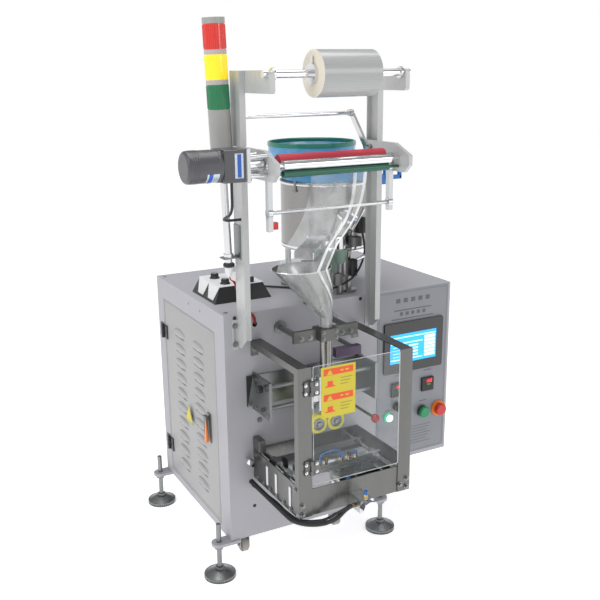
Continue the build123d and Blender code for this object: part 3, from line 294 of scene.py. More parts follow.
# ---------------------------------------------------------------- mesh making
class Shape:
    """Gathers solids into one mesh that sits at the origin."""

    def __init__(self, name: str) -> None:
        """Start an empty piece.

        Args:
            name: The finished object's name.
        """
        self.name = name
        self.bm = bmesh.new()
        self.finishes: list[Finish] = []

    def _paint(self, faces: Sequence[bmesh.types.BMFace], finish: Finish) -> None:
        """Give faces a finish."""
        if finish not in self.finishes:
            self.finishes.append(finish)
        for face in faces:
            face.material_index = self.finishes.index(finish)

    def block(self, low: Vector, high: Vector, finish: Finish, round_by: float = 0.0) -> "Shape":
        """Add a box with softened edges.

        Args:
            low: One corner.
            high: The opposite corner.
            finish: Its finish.
            round_by: The edge radius.

        Returns:
            This shape.
        """
        before = set(self.bm.faces)
        size = high - low
        place = Matrix.Translation((low + high) / 2) @ Matrix.Diagonal(
            (abs(size.x), abs(size.y), abs(size.z), 1.0)
        )
        corners = bmesh.ops.create_cube(self.bm, size=1.0, matrix=place)["verts"]
        if round_by:
            edges = list({edge for corner in corners for edge in corner.link_edges})
            bmesh.ops.bevel(self.bm, geom=edges, offset=round_by, segments=2, profile=0.5, affect="EDGES")
        self._paint([face for face in self.bm.faces if face not in before], finish)
        return self

    def lathe(
        self, origin: Vector, axis: Vector, profile: Sequence[tuple[float, float]], finish: Finish,
        sides: int = 40
    ) -> "Shape":
        """Turn an outline round an axis.

        Args:
            origin: Where the axis starts.
            axis: Its direction.
            profile: Distance along the axis and radius, from the start to the end; an outline
                that ends where it starts makes a ring.
            finish: Its finish.
            sides: Facets round the axis.

        Returns:
            This shape.
        """
        turn = axis.normalized().to_track_quat("Z", "Y")
        angles = [2 * math.pi * k / sides for k in range(sides)]
        closed = profile[0] == profile[-1]
        rings = [
            [
                self.bm.verts.new(origin + turn @ Vector((r * math.cos(a), r * math.sin(a), along)))
                for a in angles
            ]
            for along, r in (profile[:-1] if closed else profile)
        ]
        pairs = list(zip(rings, rings[1:] + ([rings[0]] if closed else [])))
        faces = [
            self.bm.faces.new((low[k], low[(k + 1) % sides], high[(k + 1) % sides], high[k]))
            for low, high in pairs
            for k in range(sides)
        ]
        if not closed:
            faces.append(self.bm.faces.new(list(reversed(rings[0]))))
            faces.append(self.bm.faces.new(rings[-1]))
        self._paint(faces, finish)
        return self

    def rod(self, start: Vector, end: Vector, radius: float, finish: Finish, sides: int = 24) -> "Shape":
        """Add a round bar with eased ends.

        Args:
            start: The middle of one end.
            end: The middle of the other.
            radius: Its radius.
            finish: Its finish.
            sides: Facets round it.

        Returns:
            This shape.
        """
        run = end - start
        ease = min(radius * 0.18, run.length * 0.3)
        outline = [
            (0.0, radius - ease), (ease, radius), (run.length - ease, radius), (run.length, radius - ease)
        ]
        return self.lathe(start, run, outline, finish, sides)

    def tube(self, points: Sequence[Vector], radius: float, finish: Finish, sides: int = 10) -> "Shape":
        """Run a round cord smoothly through points.

        Args:
            points: The points that it goes through.
            radius: Its radius.
            finish: Its finish.
            sides: Facets round it.

        Returns:
            This shape.
        """
        route = smooth_route(points)
        rings: list[list[bmesh.types.BMVert]] = []
        side = (route[1] - route[0]).orthogonal().normalized()
        for index, point in enumerate(route):
            ahead = route[min(index + 1, len(route) - 1)] - route[max(index - 1, 0)]
            ahead.normalize()
            side = (side - ahead * side.dot(ahead)).normalized()
            other = ahead.cross(side)
            rings.append(
                [
                    self.bm.verts.new(point + side * radius * math.cos(a) + other * radius * math.sin(a))
                    for a in (2 * math.pi * k / sides for k in range(sides))
                ]
            )
        faces = [
            self.bm.faces.new((low[k], low[(k + 1) % sides], high[(k + 1) % sides], high[k]))
            for low, high in zip(rings, rings[1:])
            for k in range(sides)
        ]
        faces.append(self.bm.faces.new(list(reversed(rings[0]))))
        faces.append(self.bm.faces.new(rings[-1]))
        self._paint(faces, finish)
        return self

    def curved(
        self, origin: Vector, axis: Vector, radius: float, run: float, sweep: tuple[float, float],
        lift: float, finish: Finish
    ) -> "Shape":
        """Lay a thin plate round part of a cylinder.

        Args:
            origin: Where the cylinder's axis meets the plate's first end.
            axis: The axis.
            radius: The cylinder's radius.
            run: The plate's length along the axis.
            sweep: The angles where it starts and ends, in radians.
            lift: How far it stands off the cylinder.
            finish: Its finish.

        Returns:
            This shape.
        """
        turn = axis.normalized().to_track_quat("Z", "Y")
        steps = 12
        corners: list[list[bmesh.types.BMVert]] = []
        for k in range(steps + 1):
            a = sweep[0] + (sweep[1] - sweep[0]) * k / steps
            corners.append(
                [
                    self.bm.verts.new(origin + turn @ Vector((r * math.cos(a), r * math.sin(a), z)))
                    for r,
                    z in (
                        (radius - 0.001, 0), (radius + lift, 0), (radius + lift, run), (radius - 0.001, run)
                    )
                ]
            )
        faces = [
            self.bm.faces.new((low[j], high[j], high[(j + 1) % 4], low[(j + 1) % 4]))
            for low, high in zip(corners, corners[1:])
            for j in range(4)
        ]
        faces += [self.bm.faces.new(corners[0]), self.bm.faces.new(list(reversed(corners[-1])))]
        bmesh.ops.recalc_face_normals(self.bm, faces=faces)
        self._paint(faces, finish)
        return self

    def slab(self, outline: Sequence[Vector], through: Vector, finish: Finish) -> "Shape":
        """Thicken a flat outline.

        Args:
            outline: The near face's corners, turning anticlockwise seen from outside it.
            through: From the near face to the far one.
            finish: Its finish.

        Returns:
            This shape.
        """
        near = [self.bm.verts.new(corner) for corner in outline]
        far = [self.bm.verts.new(corner + through) for corner in outline]
        count = len(outline)
        faces = [self.bm.faces.new(near), self.bm.faces.new(list(reversed(far)))]
        faces += [
            self.bm.faces.new((near[k], far[k], far[(k + 1) % count], near[(k + 1) % count]))
            for k in range(count)
        ]
        self._paint(faces, finish)
        return self

    def made(self, body: str, smooth: bool = True) -> bpy.types.Object:
        """Turn what has been gathered into an object that rides on a body.

        Args:
            body: The CAD body it moves with.
            smooth: Whether gently turned faces are shaded round.

        Returns:
            The object.
        """
        mesh = bpy.data.meshes.new(self.name)
        self.bm.to_mesh(mesh)
        self.bm.free()
        for finish in self.finishes:
            mesh.materials.append(finish.material())
        return ridden(self.name, mesh, body, smooth)


def ridden(name: str, mesh: bpy.types.Mesh, body: str, smooth: bool = True) -> bpy.types.Object:
    """Put a finished mesh in the scene, on a body.

    Args:
        name: The object's name.
        mesh: Its mesh.
        body: The CAD body it moves with.
        smooth: Whether gently turned faces are shaded round.

    Returns:
        The object.
    """
    if smooth:
        mesh.shade_smooth()
        mesh.set_sharp_from_angle(angle=math.radians(35))
    thing = bpy.data.objects.new(name, mesh)
    bpy.context.scene.collection.objects.link(thing)
    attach(thing, body)
    log.info("built %s on %s", name, body)
    return thing


def smooth_route(points: Sequence[Vector], steps: int = 10) -> list[Vector]:
    """Give points along a smooth curve that passes through every given one.

    Args:
        points: The points it passes through.
        steps: How many points replace each stretch.

    Returns:
        The curve's points, ends included.
    """
    held = [points[0], *points, points[-1]]
    route: list[Vector] = []
    for a, b, c, d in zip(held, held[1:], held[2:], held[3:]):
        for step in range(steps):
            t = step / steps
            route.append(
                0.5 * (
                    2 * b + (c - a) * t + (2 * a - 5 * b + 4 * c - d) * t * t + (3 * b - a - 3 * c + d) * t**3
                )
            )
    route.append(points[-1])
    return route


# ---------------------------------------------------------------- geometry-node tools
class NodeTool:
    """A Geometry Nodes tree with named inputs, run once on a carrier mesh and baked to a plain mesh."""

    title: str = "tool"
    sizes: tuple[tuple[str, str], ...] = ()

    def __init__(self) -> None:
        """Build the tree: its inputs, what the subclass adds, and its closing nodes."""
        self.tree = bpy.data.node_groups.new(self.title, "GeometryNodeTree")
        sockets = self.tree.interface
        sockets.new_socket("Carrier", in_out="INPUT", socket_type="NodeSocketGeometry")
        self.keys = {
            name: sockets.new_socket(name, in_out="INPUT", socket_type=kind).identifier
            for name, kind in (*self.sizes, ("Finish", "NodeSocketMaterial"))
        }
        sockets.new_socket("Made", in_out="OUTPUT", socket_type="NodeSocketGeometry")
        self.given = self.tree.nodes.new("NodeGroupInput")
        shade = self.node("GeometryNodeSetShadeSmooth", Geometry=self.grow())
        real = self.node("GeometryNodeRealizeInstances", Geometry=shade.outputs[0])
        paint = self.node(
            "GeometryNodeSetMaterial", Geometry=real.outputs[0], Material=self.given.outputs["Finish"]
        )
        end = self.tree.nodes.new("NodeGroupOutput")
        self.tree.links.new(paint.outputs[0], end.inputs[0])

    def node(self, kind: str, **inputs: object) -> bpy.types.Node:
        """Add a node and fill its inputs.

        Args:
            kind: The node's type.
            inputs: A link or a value for each named input, with an underscore for a space.

        Returns:
            The node.
        """
        made = self.tree.nodes.new(kind)
        for name, value in inputs.items():
            socket = made.inputs[name.replace("_", " ")]
            if isinstance(value, bpy.types.NodeSocket):
                self.tree.links.new(value, socket)
            else:
                socket.default_value = value
        return made

    def grow(self) -> bpy.types.NodeSocket:
        """Add the tool's own nodes and give the geometry they end in."""
        raise NotImplementedError

    def run(
        self,
        name: str,
        body: str,
        points: Sequence[Vector],
        finish: Finish,
        chained: bool = False,
        **values: float | int | Vector,
    ) -> bpy.types.Object:
        """Run the tree on points and bake what it makes.

        Args:
            name: The finished object's name.
            body: The CAD body it moves with.
            points: The carrier's points.
            finish: The finish of all that is made.
            chained: Whether the points are joined in a row.
            values: The named inputs, with an underscore for a space.

        Returns:
            The baked object.
        """
        carrier = bpy.data.meshes.new(name + "_carrier")
        edges = [(k, k + 1) for k in range(len(points) - 1)] if chained else []
        carrier.from_pydata([tuple(point) for point in points], edges, [])
        thing = bpy.data.objects.new(name + "_carrier", carrier)
        bpy.context.scene.collection.objects.link(thing)
        modifier = thing.modifiers.new(self.title, "NODES")
        modifier.node_group = self.tree
        for key, value in values.items():
            modifier[self.keys[key.replace("_", " ")]] = value
        modifier[self.keys["Finish"]] = finish.material()
        seen = thing.evaluated_get(bpy.context.evaluated_depsgraph_get())
        mesh = bpy.data.meshes.new_from_object(seen)
        mesh.name = name
        thing.modifiers.remove(modifier)
        bpy.data.objects.remove(thing)
        return ridden(name, mesh, body)


class Fasteners(NodeTool):
    """Sets a washer and a screw head on every point."""

    title = "fastener_heads"
    sizes = (
        ("Radius", "NodeSocketFloat"),
        ("Height", "NodeSocketFloat"),
        ("Crown", "NodeSocketFloat"),
        ("Sides", "NodeSocketInt"),
        ("Turn", "NodeSocketVector"),
    )

    def grow(self) -> bpy.types.NodeSocket:
        """Build one head from two cones and set it on the points."""
        given = self.given.outputs
        crown = self.node("ShaderNodeMath", Value=given["Radius"])
        crown.operation = "MULTIPLY"
        self.tree.links.new(given["Crown"], crown.inputs[1])
        rim = self.node("ShaderNodeMath", Value=given["Radius"])
        rim.operation = "MULTIPLY"
        rim.inputs[1].default_value = 1.5
        thin = self.node("ShaderNodeMath", Value=given["Height"])
        thin.operation = "MULTIPLY"
        thin.inputs[1].default_value = 0.25
        washer = self.node(
            "GeometryNodeMeshCone",
            Vertices=20,
            Radius_Top=rim.outputs[0],
            Radius_Bottom=rim.outputs[0],
            Depth=thin.outputs[0],
        )
        head = self.node(
            "GeometryNodeMeshCone",
            Vertices=given["Sides"],
            Radius_Top=crown.outputs[0],
            Radius_Bottom=given["Radius"],
            Depth=given["Height"],
        )
        both = self.tree.nodes.new("GeometryNodeJoinGeometry")
        self.tree.links.new(washer.outputs["Mesh"], both.inputs[0])
        self.tree.links.new(head.outputs["Mesh"], both.inputs[0])
        placed = self.node(
            "GeometryNodeInstanceOnPoints", Points=given["Carrier"], Instance=both.outputs[0],
            Rotation=given["Turn"]
        )
        return placed.outputs[0]


class Louvres(NodeTool):
    """Presses a row of rounded louvres below every point."""

    title = "louvre_rows"
    sizes = (
        ("Rows", "NodeSocketInt"),
        ("Drop", "NodeSocketVector"),
        ("Half size", "NodeSocketVector"),
    )

    def grow(self) -> bpy.types.NodeSocket:
        """Build one bulge, a line of places for it, and set the line on the points."""
        given = self.given.outputs
        ball = self.node("GeometryNodeMeshUVSphere", Segments=28, Rings=14, Radius=1.0)
        bulge = self.node("GeometryNodeTransform", Geometry=ball.outputs["Mesh"], Scale=given["Half size"])
        line = self.node("GeometryNodeMeshLine", Count=given["Rows"], Offset=given["Drop"])
        row = self.node("GeometryNodeInstanceOnPoints", Points=line.outputs[0], Instance=bulge.outputs[0])
        placed = self.node("GeometryNodeInstanceOnPoints", Points=given["Carrier"], Instance=row.outputs[0])
        return placed.outputs[0]


class Ribs(NodeTool):
    """Sets rings at even steps along a chain of points."""

    title = "hose_ribs"
    sizes = (("Radius", "NodeSocketFloat"), ("Thickness", "NodeSocketFloat"), ("Step", "NodeSocketFloat"))

    def grow(self) -> bpy.types.NodeSocket:
        """Build one ring and set it along the chain, square to it."""
        given = self.given.outputs
        chain = self.node("GeometryNodeMeshToCurve", Mesh=given["Carrier"])
        steps = self.node("GeometryNodeResampleCurve", Curve=chain.outputs[0])
        steps.mode = "LENGTH"
        self.tree.links.new(given["Step"], steps.inputs["Length"])
        hoop = self.node("GeometryNodeCurvePrimitiveCircle", Resolution=18, Radius=given["Radius"])
        wire = self.node("GeometryNodeCurvePrimitiveCircle", Resolution=6, Radius=given["Thickness"])
        ring = self.tree.nodes.new("GeometryNodeCurveToMesh")
        self.tree.links.new(hoop.outputs["Curve"], ring.inputs["Curve"])
        self.tree.links.new(wire.outputs["Curve"], ring.inputs["Profile Curve"])
        tangent = self.tree.nodes.new("GeometryNodeInputTangent")
        turn = self.node("FunctionNodeAlignRotationToVector", Vector=tangent.outputs[0])
        turn.axis = "Z"
        placed = self.node(
            "GeometryNodeInstanceOnPoints", Points=steps.outputs[0], Instance=ring.outputs[0],
            Rotation=turn.outputs[0]
        )
        return placed.outputs[0]


class Turned(Enum):
    """Which way a fastener's head looks, as turns about X, Y and Z."""

    FRONT = (math.pi / 2, 0.0, 0.0)
    LEFT = (0.0, -math.pi / 2, 0.0)
    RIGHT = (0.0, math.pi / 2, 0.0)
    UP = (0.0, 0.0, 0.0)
    BACK = (-math.pi / 2, 0.0, 0.0)


@dataclass
class Bench:
    """The node tools, built once and lent to every sub-assembly."""

    fasteners: Fasteners
    louvres: Louvres
    ribs: Ribs

    def heads(
        self, name: str, body: str, spots: Sequence[Vector], way: Turned, radius: float, height: float,
        finish: Finish,
        sides: int = 6, crown: float = 0.85,
    ) -> bpy.types.Object:
        """Set a group of like fasteners that all look one way.

        Args:
            name: The piece's name.
            body: The CAD body it moves with.
            spots: Where each head sits.
            way: Which way the heads look.
            radius: The head's radius.
            height: The head's height.
            finish: Its finish.
            sides: Six for a hexagon, more for a round head.
            crown: The top's radius over the head's.

        Returns:
            The baked object.
        """
        return self.fasteners.run(
            name, body, spots, finish, Radius=radius, Height=height, Crown=crown, Sides=sides,
            Turn=Vector(way.value)
        )


# ---------------------------------------------------------------- sub-assemblies
@dataclass
class Cabinet:
    """The sheet-metal cabinet, its feet, casters and what shows on its faces."""

    bench: Bench
    screw: float = 0.0045
    knob: float = 0.012

    def build(self) -> None:
        """Dress the cabinet's nodes and add its fasteners."""
        inside = within(at(0.003, 0.003, 0.13), at(0.541, 0.597, 0.868))
        dress(
            "cabinet_shell", Coat.GREY, (inside, Coat.ZINC), (self._hinge_test(), Coat.BLACK),
            (self._lug_test(), Coat.GREY)
        )
        dress("main_drive", Coat.MOTOR)
        dress("caster_forks", Coat.ZINC)
        for number in range(1, 5):
            dress(f"caster_wheel_{number}", Coat.TYRE)
            low, high, _ = node_box(f"foot_{number}")
            rubber = within(low, Vector((high.x, high.y, 0.007)))
            dress(f"foot_{number}", Coat.ZINC, (rubber, Coat.BLACK))
        self._front_details()

    def _hinge_test(self) -> Test:
        """Give the test for the side door's fixed hinge leaves and knuckles."""
        return lambda middle, normal: middle.x < Datum.left - 0.0005 and middle.z > 0.19 and middle.y > 0.4

    def _lug_test(self) -> Test:
        """Give the test for the foot lugs."""
        return lambda middle, normal: middle.z < 0.1225

    def _front_details(self) -> None:
        """Add the screws, plugs and knob on the front and left faces, and on the lid."""
        dark = [at(0.036, 0, 0.862), at(0.107, 0, 0.606), at(0.478, 0, 0.862), at(0.085, 0, 0.227)]
        self.bench.heads("front_plugs", "machine", dark, Turned.FRONT, 0.004, 0.0015, Coat.BLACK, 16, 0.7)
        side = [at(0, 0.291, 0.843), at(0, 0.191, 0.842)]
        self.bench.heads("left_plugs", "machine", side, Turned.LEFT, 0.003, 0.0008, Coat.ZINC, 16, 0.7)
        corner = [at(x, y, Datum.top) for x in (0.02, 0.52) for y in (0.03, 0.57)]
        self.bench.heads("lid_screws", "machine", corner, Turned.UP, self.screw, 0.0022, Coat.ZINC, 16, 0.6)
        stem = at(0.0635, 0, 0.394)
        ball = [
            (0.0, 0.006), (0.010, 0.006), (0.012, 0.009), (0.016, self.knob), (0.022, self.knob),
            (0.027, 0.009),
            (0.029, 0.004),
        ]
        hole = at(0.084, 0, 0.369)
        details = Shape("front_knob").lathe(stem, -Y, ball, Coat.CHROME)
        details.lathe(hole, -Y, [(0.0, 0.0065), (0.0012, 0.006)], Coat.BLACK)
        details.made("machine")


@dataclass
class SideDoor:
    """The louvred door on the left side, and its latch."""

    bench: Bench
    rows: int = 10
    pitch: float = 0.054
    half: tuple[float, float, float] = (0.0095, 0.051, 0.0155)
    sheet: float = 0.002

    def build(self) -> None:
        """Replace the plain door with a louvred one, and dress the latch."""
        low, high, _ = node_box("side_door")
        face = Datum.left
        front, back = low.y, Datum.front + 0.540
        door = Shape("side_door_sheet")
        door.block(Vector((face, front, low.z)), Vector((face + self.sheet, back, high.z)), Coat.DOOR, 0.0008)
        rim = 0.006
        for y in (front + rim, back - rim):
            door.block(
                Vector((face - 0.0008, y - 0.002, low.z + rim)), Vector((face, y + 0.002, high.z - rim)),
                Coat.DOOR
            )
        for z in (low.z + rim, high.z - rim):
            door.block(
                Vector((face - 0.0008, front + rim, z - 0.002)), Vector((face, back - rim, z + 0.002)),
                Coat.DOOR
            )
        hinge = back + 0.006
        for z in (low.z + 0.076, high.z - 0.142):
            door.block(
                Vector((face - 0.004, hinge - 0.036, z)), Vector((face, hinge - 0.008, z + 0.050)),
                Coat.BLACK, 0.0012
            )
            knuckle = (z + 0.0169, z + 0.0331)
            door.rod(
                Vector((face - 0.006, hinge, knuckle[0])), Vector((face - 0.006, hinge, knuckle[1])),
                0.0055, Coat.BLACK
            )
            door.block(
                Vector((face - 0.006, hinge - 0.012, knuckle[0])),
                Vector((face - 0.001, hinge - 0.003, knuckle[1])),
                Coat.BLACK,
            )
        latch_low, latch_high, latch = node_box("door_latch")
        door.block(
            Vector((face - 0.004, latch.y - 0.014, latch_low.z - 0.004)),
            Vector((face, latch.y + 0.014, latch_high.z + 0.002)),
            Coat.DARK,
            0.0015,
        )
        panel = door.made("side_door")
        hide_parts("side_door")
        tops = [Vector((face + 0.0015, Datum.front + y, high.z - 0.087)) for y in (0.222, 0.390)]
        rows = self.bench.louvres.run(
            "side_door_louvres", "side_door", tops, Coat.DOOR, Rows=self.rows,
            Drop=Vector((0, 0, -self.pitch)),
            Half_size=Vector(self.half),
        )
        # A thin dark strip under each louvre stands for its open slot: painted shade where the louvre's
        # underside is in shadow.
        slot_shade_spots = [top + Vector((-0.0015, 0, -0.0165)) for top in tops]
        self.bench.louvres.run(
            "side_door_slot_shade", "side_door", slot_shade_spots, Coat.PRINT, Rows=self.rows,
            Drop=Vector((0, 0, -self.pitch)),
            Half_size=Vector((0.0016, 0.044, 0.0022)),
        )
        self._sticker(face)
        tip = within(latch_low, Vector((latch_high.x, latch_high.y, latch_low.z + 0.032)))
        dress("door_latch", Coat.DARK, (tip, Coat.ORANGE))
        leaf = [
            Vector((face - 0.004, hinge - 0.022, z + lift))
            for z in (low.z + 0.076, high.z - 0.142)
            for lift in (0.012, 0.038)
        ]
        self.bench.heads(
            "door_hinge_screws", "side_door", leaf, Turned.LEFT, 0.003, 0.001, Coat.DARK, 16, 0.6
        )

    def _sticker(self, face: float) -> None:
        """Add a clear sticker with a plain yellow triangle.

        Args:
            face: Where the door's outer face is, along X.
        """
        at_y, at_z, half = Datum.front + 0.308, 0.449, 0.034
        out = face - 0.0094
        sticker = Shape("door_sticker")
        for half_side, deep, finish in ((half, 0.0002, Coat.SIGN_BLACK), (half * 0.88, 0.0004, Coat.SIGN)):
            corners = [
                Vector((out - deep, at_y, at_z + half_side * 1.1)),
                Vector((out - deep, at_y + half_side, at_z - half_side * 0.8)),
                Vector((out - deep, at_y - half_side, at_z - half_side * 0.8)),
            ]
            sticker.slab(corners, Vector((0.0002, 0, 0)), finish)
        sticker.made("side_door", smooth=False)


@dataclass
class ControlBox:
    """The control box on the right, its panel, screen, meters and buttons."""

    bench: Bench

    def build(self) -> None:
        """Dress the control nodes and add prints, pictures and digits."""
        dress("control_box", Coat.GREY)
        self._panel()
        self._screen()
        self._meters()
        self._buttons()

    def _panel(self) -> None:
        """Dress the panel and lay plain printed bars on it."""
        low, high, _ = node_box("control_panel")
        collars = []
        for name, finish in (
            ("start_button", Coat.DARK), ("stop_button", Coat.ORANGE), ("lamp_button", Coat.LAMP_RING),
            ("selector_switch", Coat.DARK),
        ):
            collars.append((self._collar_test(node_box(name)[2]), finish))
        dress("control_panel", Coat.PANEL, *collars)
        face = Datum.front - 0.002
        prints = Shape("panel_prints")

        def bar(x: float, z: float, width: float, height: float) -> None:
            """Lay one printed bar, from its middle."""
            prints.block(
                Vector((x - width / 2, face - 0.0003, z - height / 2)),
                Vector((x + width / 2, face, z + height / 2)),
                Coat.PRINT,
            )

        middle = (low.x + high.x) / 2 - 0.004
        for z, wide, tall, count in (
            (0.834, 0.017, 0.015, 5), (0.801, 0.15, 0.004, 1), (0.788, 0.013, 0.012, 5)
        ):
            for k in range(count):
                bar(middle + (k - (count - 1) / 2) * wide * 1.75, z, wide, tall)
        bar(middle, 0.771, 0.17, 0.0035)
        for row in range(7):
            bar(middle + 0.01, 0.372 - row * 0.0105, 0.16 - 0.02 * (row % 3), 0.002)
        for x, z in ((0.630, 0.572), (0.752, 0.572), (0.592, 0.452), (0.736, 0.462)):
            bar(Datum.left + x, z, 0.03, 0.003)
        for x in (low.x + 0.006, high.x - 0.006):
            bar(x, (low.z + high.z) / 2, 0.001, high.z - low.z - 0.012)
        for z in (low.z + 0.006, high.z - 0.006):
            bar((low.x + high.x) / 2, z, high.x - low.x - 0.012, 0.001)
        prints.made("machine", smooth=False)
        corners = [
            Vector((x, face, z)) for x in (low.x + 0.010, high.x - 0.010)
            for z in (low.z + 0.010, high.z - 0.010)
        ]
        self.bench.heads("panel_screws", "machine", corners, Turned.FRONT, 0.003, 0.0015, Coat.ZINC, 20, 0.5)

    @staticmethod
    def _collar_test(centre: Vector) -> Test:
        """Make a test for the panel's raised collar round one button.

        Args:
            centre: The button's middle.

        Returns:
            The test.
        """
        proud, reach = Datum.front - 0.0021, 0.03
        return lambda m, n: m.y < proud and abs(m.x - centre.x) < reach and abs(m.z - centre.z) < reach

    def _screen(self) -> None:
        """Dress the touchscreen and draw a plain picture of bands and keys."""
        low, high, _ = node_box("touchscreen")
        dress("touchscreen", Coat.GLOSS, (lambda m, n: m.y > low.y + 0.0025 + 1e-4, Coat.BLACK))
        left, right = low.x + 0.0235, high.x - 0.0265
        bottom, top = low.z + 0.0335, high.z - 0.0405
        face = low.y + 0.0012
        wide, tall = right - left, top - bottom
        picture = Shape("screen_picture")

        def patch(x0: float, x1: float, z0: float, z1: float, finish: Finish, lift: float) -> None:
            """Lay one rectangle, given as parts of the picture's width and height."""
            picture.block(
                Vector((left + wide * x0, face - lift, bottom + tall * z0)),
                Vector((left + wide * x1, face + 0.0002, bottom + tall * z1)),
                finish,
            )

        patch(0, 1, 0, 1, Coat.SCREEN, 0.0)
        patch(0.02, 0.98, 0.86, 0.90, Coat.SCREEN_LIGHT, 0.0002)
        patch(0.02, 0.70, 0.66, 0.70, Coat.SCREEN_LIGHT, 0.0002)
        patch(0.02, 0.70, 0.10, 0.14, Coat.SCREEN_LIGHT, 0.0002)
        for row in range(6):
            patch(0.74, 0.97, 0.10 + row * 0.125, 0.20 + row * 0.125, Coat.SCREEN_KEY, 0.0003)
        for row in range(4):
            patch(0.06, 0.30, 0.22 + row * 0.11, 0.235 + row * 0.11, Coat.SCREEN_LIGHT, 0.0002)
            patch(0.40, 0.60, 0.20 + row * 0.11, 0.26 + row * 0.11, Coat.SCREEN_LIGHT, 0.0002)
        picture.made("machine", smooth=False)

    def _meters(self) -> None:
        """Dress the two temperature meters and light their digits."""
        low, high, middle = node_box("temperature_meters")
        dress("temperature_meters", Coat.BLACK)
        digits = Shape("meter_digits")
        side = 0.048
        for x in (low.x + side / 2, high.x - side / 2):
            z = middle.z + (0.0005 if x < middle.x else -0.0005)
            for row, (finish, scale, numbers) in enumerate(
                ((Coat.DIGIT, 1.0, "150"), (Coat.DIGIT_GREEN, 0.7, "150"))
            ):
                for k, number in enumerate(numbers):
                    corner = Vector(
                        (
                            x + (k - 1) * 0.0095 * scale - 0.003 + 0.004, low.y + 0.0006,
                            z + 0.006 - row * 0.0145
                        )
                    )
                    self._digit(digits, corner, number, scale, finish)
            keys = [Vector((x + (k - 1.5) * 0.009, low.y + 0.001, z - 0.019)) for k in range(4)]
            for key in keys:
                digits.block(
                    key - Vector((0.003, 0.0006, 0.0022)), key + Vector((0.003, 0.0006, 0.0022)),
                    Coat.LABEL, 0.0004
                )
        digits.made("machine", smooth=False)

    def _digit(self, shape: Shape, corner: Vector, number: str, scale: float, finish: Finish) -> None:
        """Draw one seven-bar digit.

        Args:
            shape: The shape it goes in.
            corner: Its lower left corner.
            number: The digit.
            scale: Its size over 10 mm.
            finish: The lit finish.
        """
        lit = {"0": "abcdef", "1": "bc", "5": "acdfg"}[number]
        w, h, t = 0.0056 * scale, 0.010 * scale, 0.0011 * scale
        bars = {
            "a": (0, h - t, w, h), "d": (0, 0, w, t), "g": (0, h / 2 - t / 2, w, h / 2 + t / 2),
            "b": (w - t, h / 2, w, h), "c": (w - t, 0, w, h / 2), "e": (0, 0, t, h / 2),
            "f": (0, h / 2, t, h),
        }
        for name in lit:
            x0, z0, x1, z1 = bars[name]
            shape.block(corner + Vector((x0, 0, z0)), corner + Vector((x1, 0.0004, z1)), finish)

    def _buttons(self) -> None:
        """Dress the buttons' caps."""
        for name, finish in (
            ("start_button", Coat.GREEN_KEY), ("stop_button", Coat.RED_KEY), ("lamp_button", Coat.LAMP)
        ):
            low = node_box(name)[0]
            dress(
                name, Coat.ZINC,
                (within(Vector((-9, low.y - 0.001, 0)), Vector((9, Datum.front - 0.009, 9))), finish)
            )
        low, _, middle = node_box("selector_switch")
        dress("selector_switch", Coat.BLACK)
        mark = Shape("selector_mark").block(
            Vector((middle.x - 0.001, low.y - 0.0004, middle.z + 0.003)),
            Vector((middle.x + 0.001, low.y + 0.0004, middle.z + 0.014)),
            Coat.LIGHT,
        )
        mark.made("selector_switch", smooth=False)


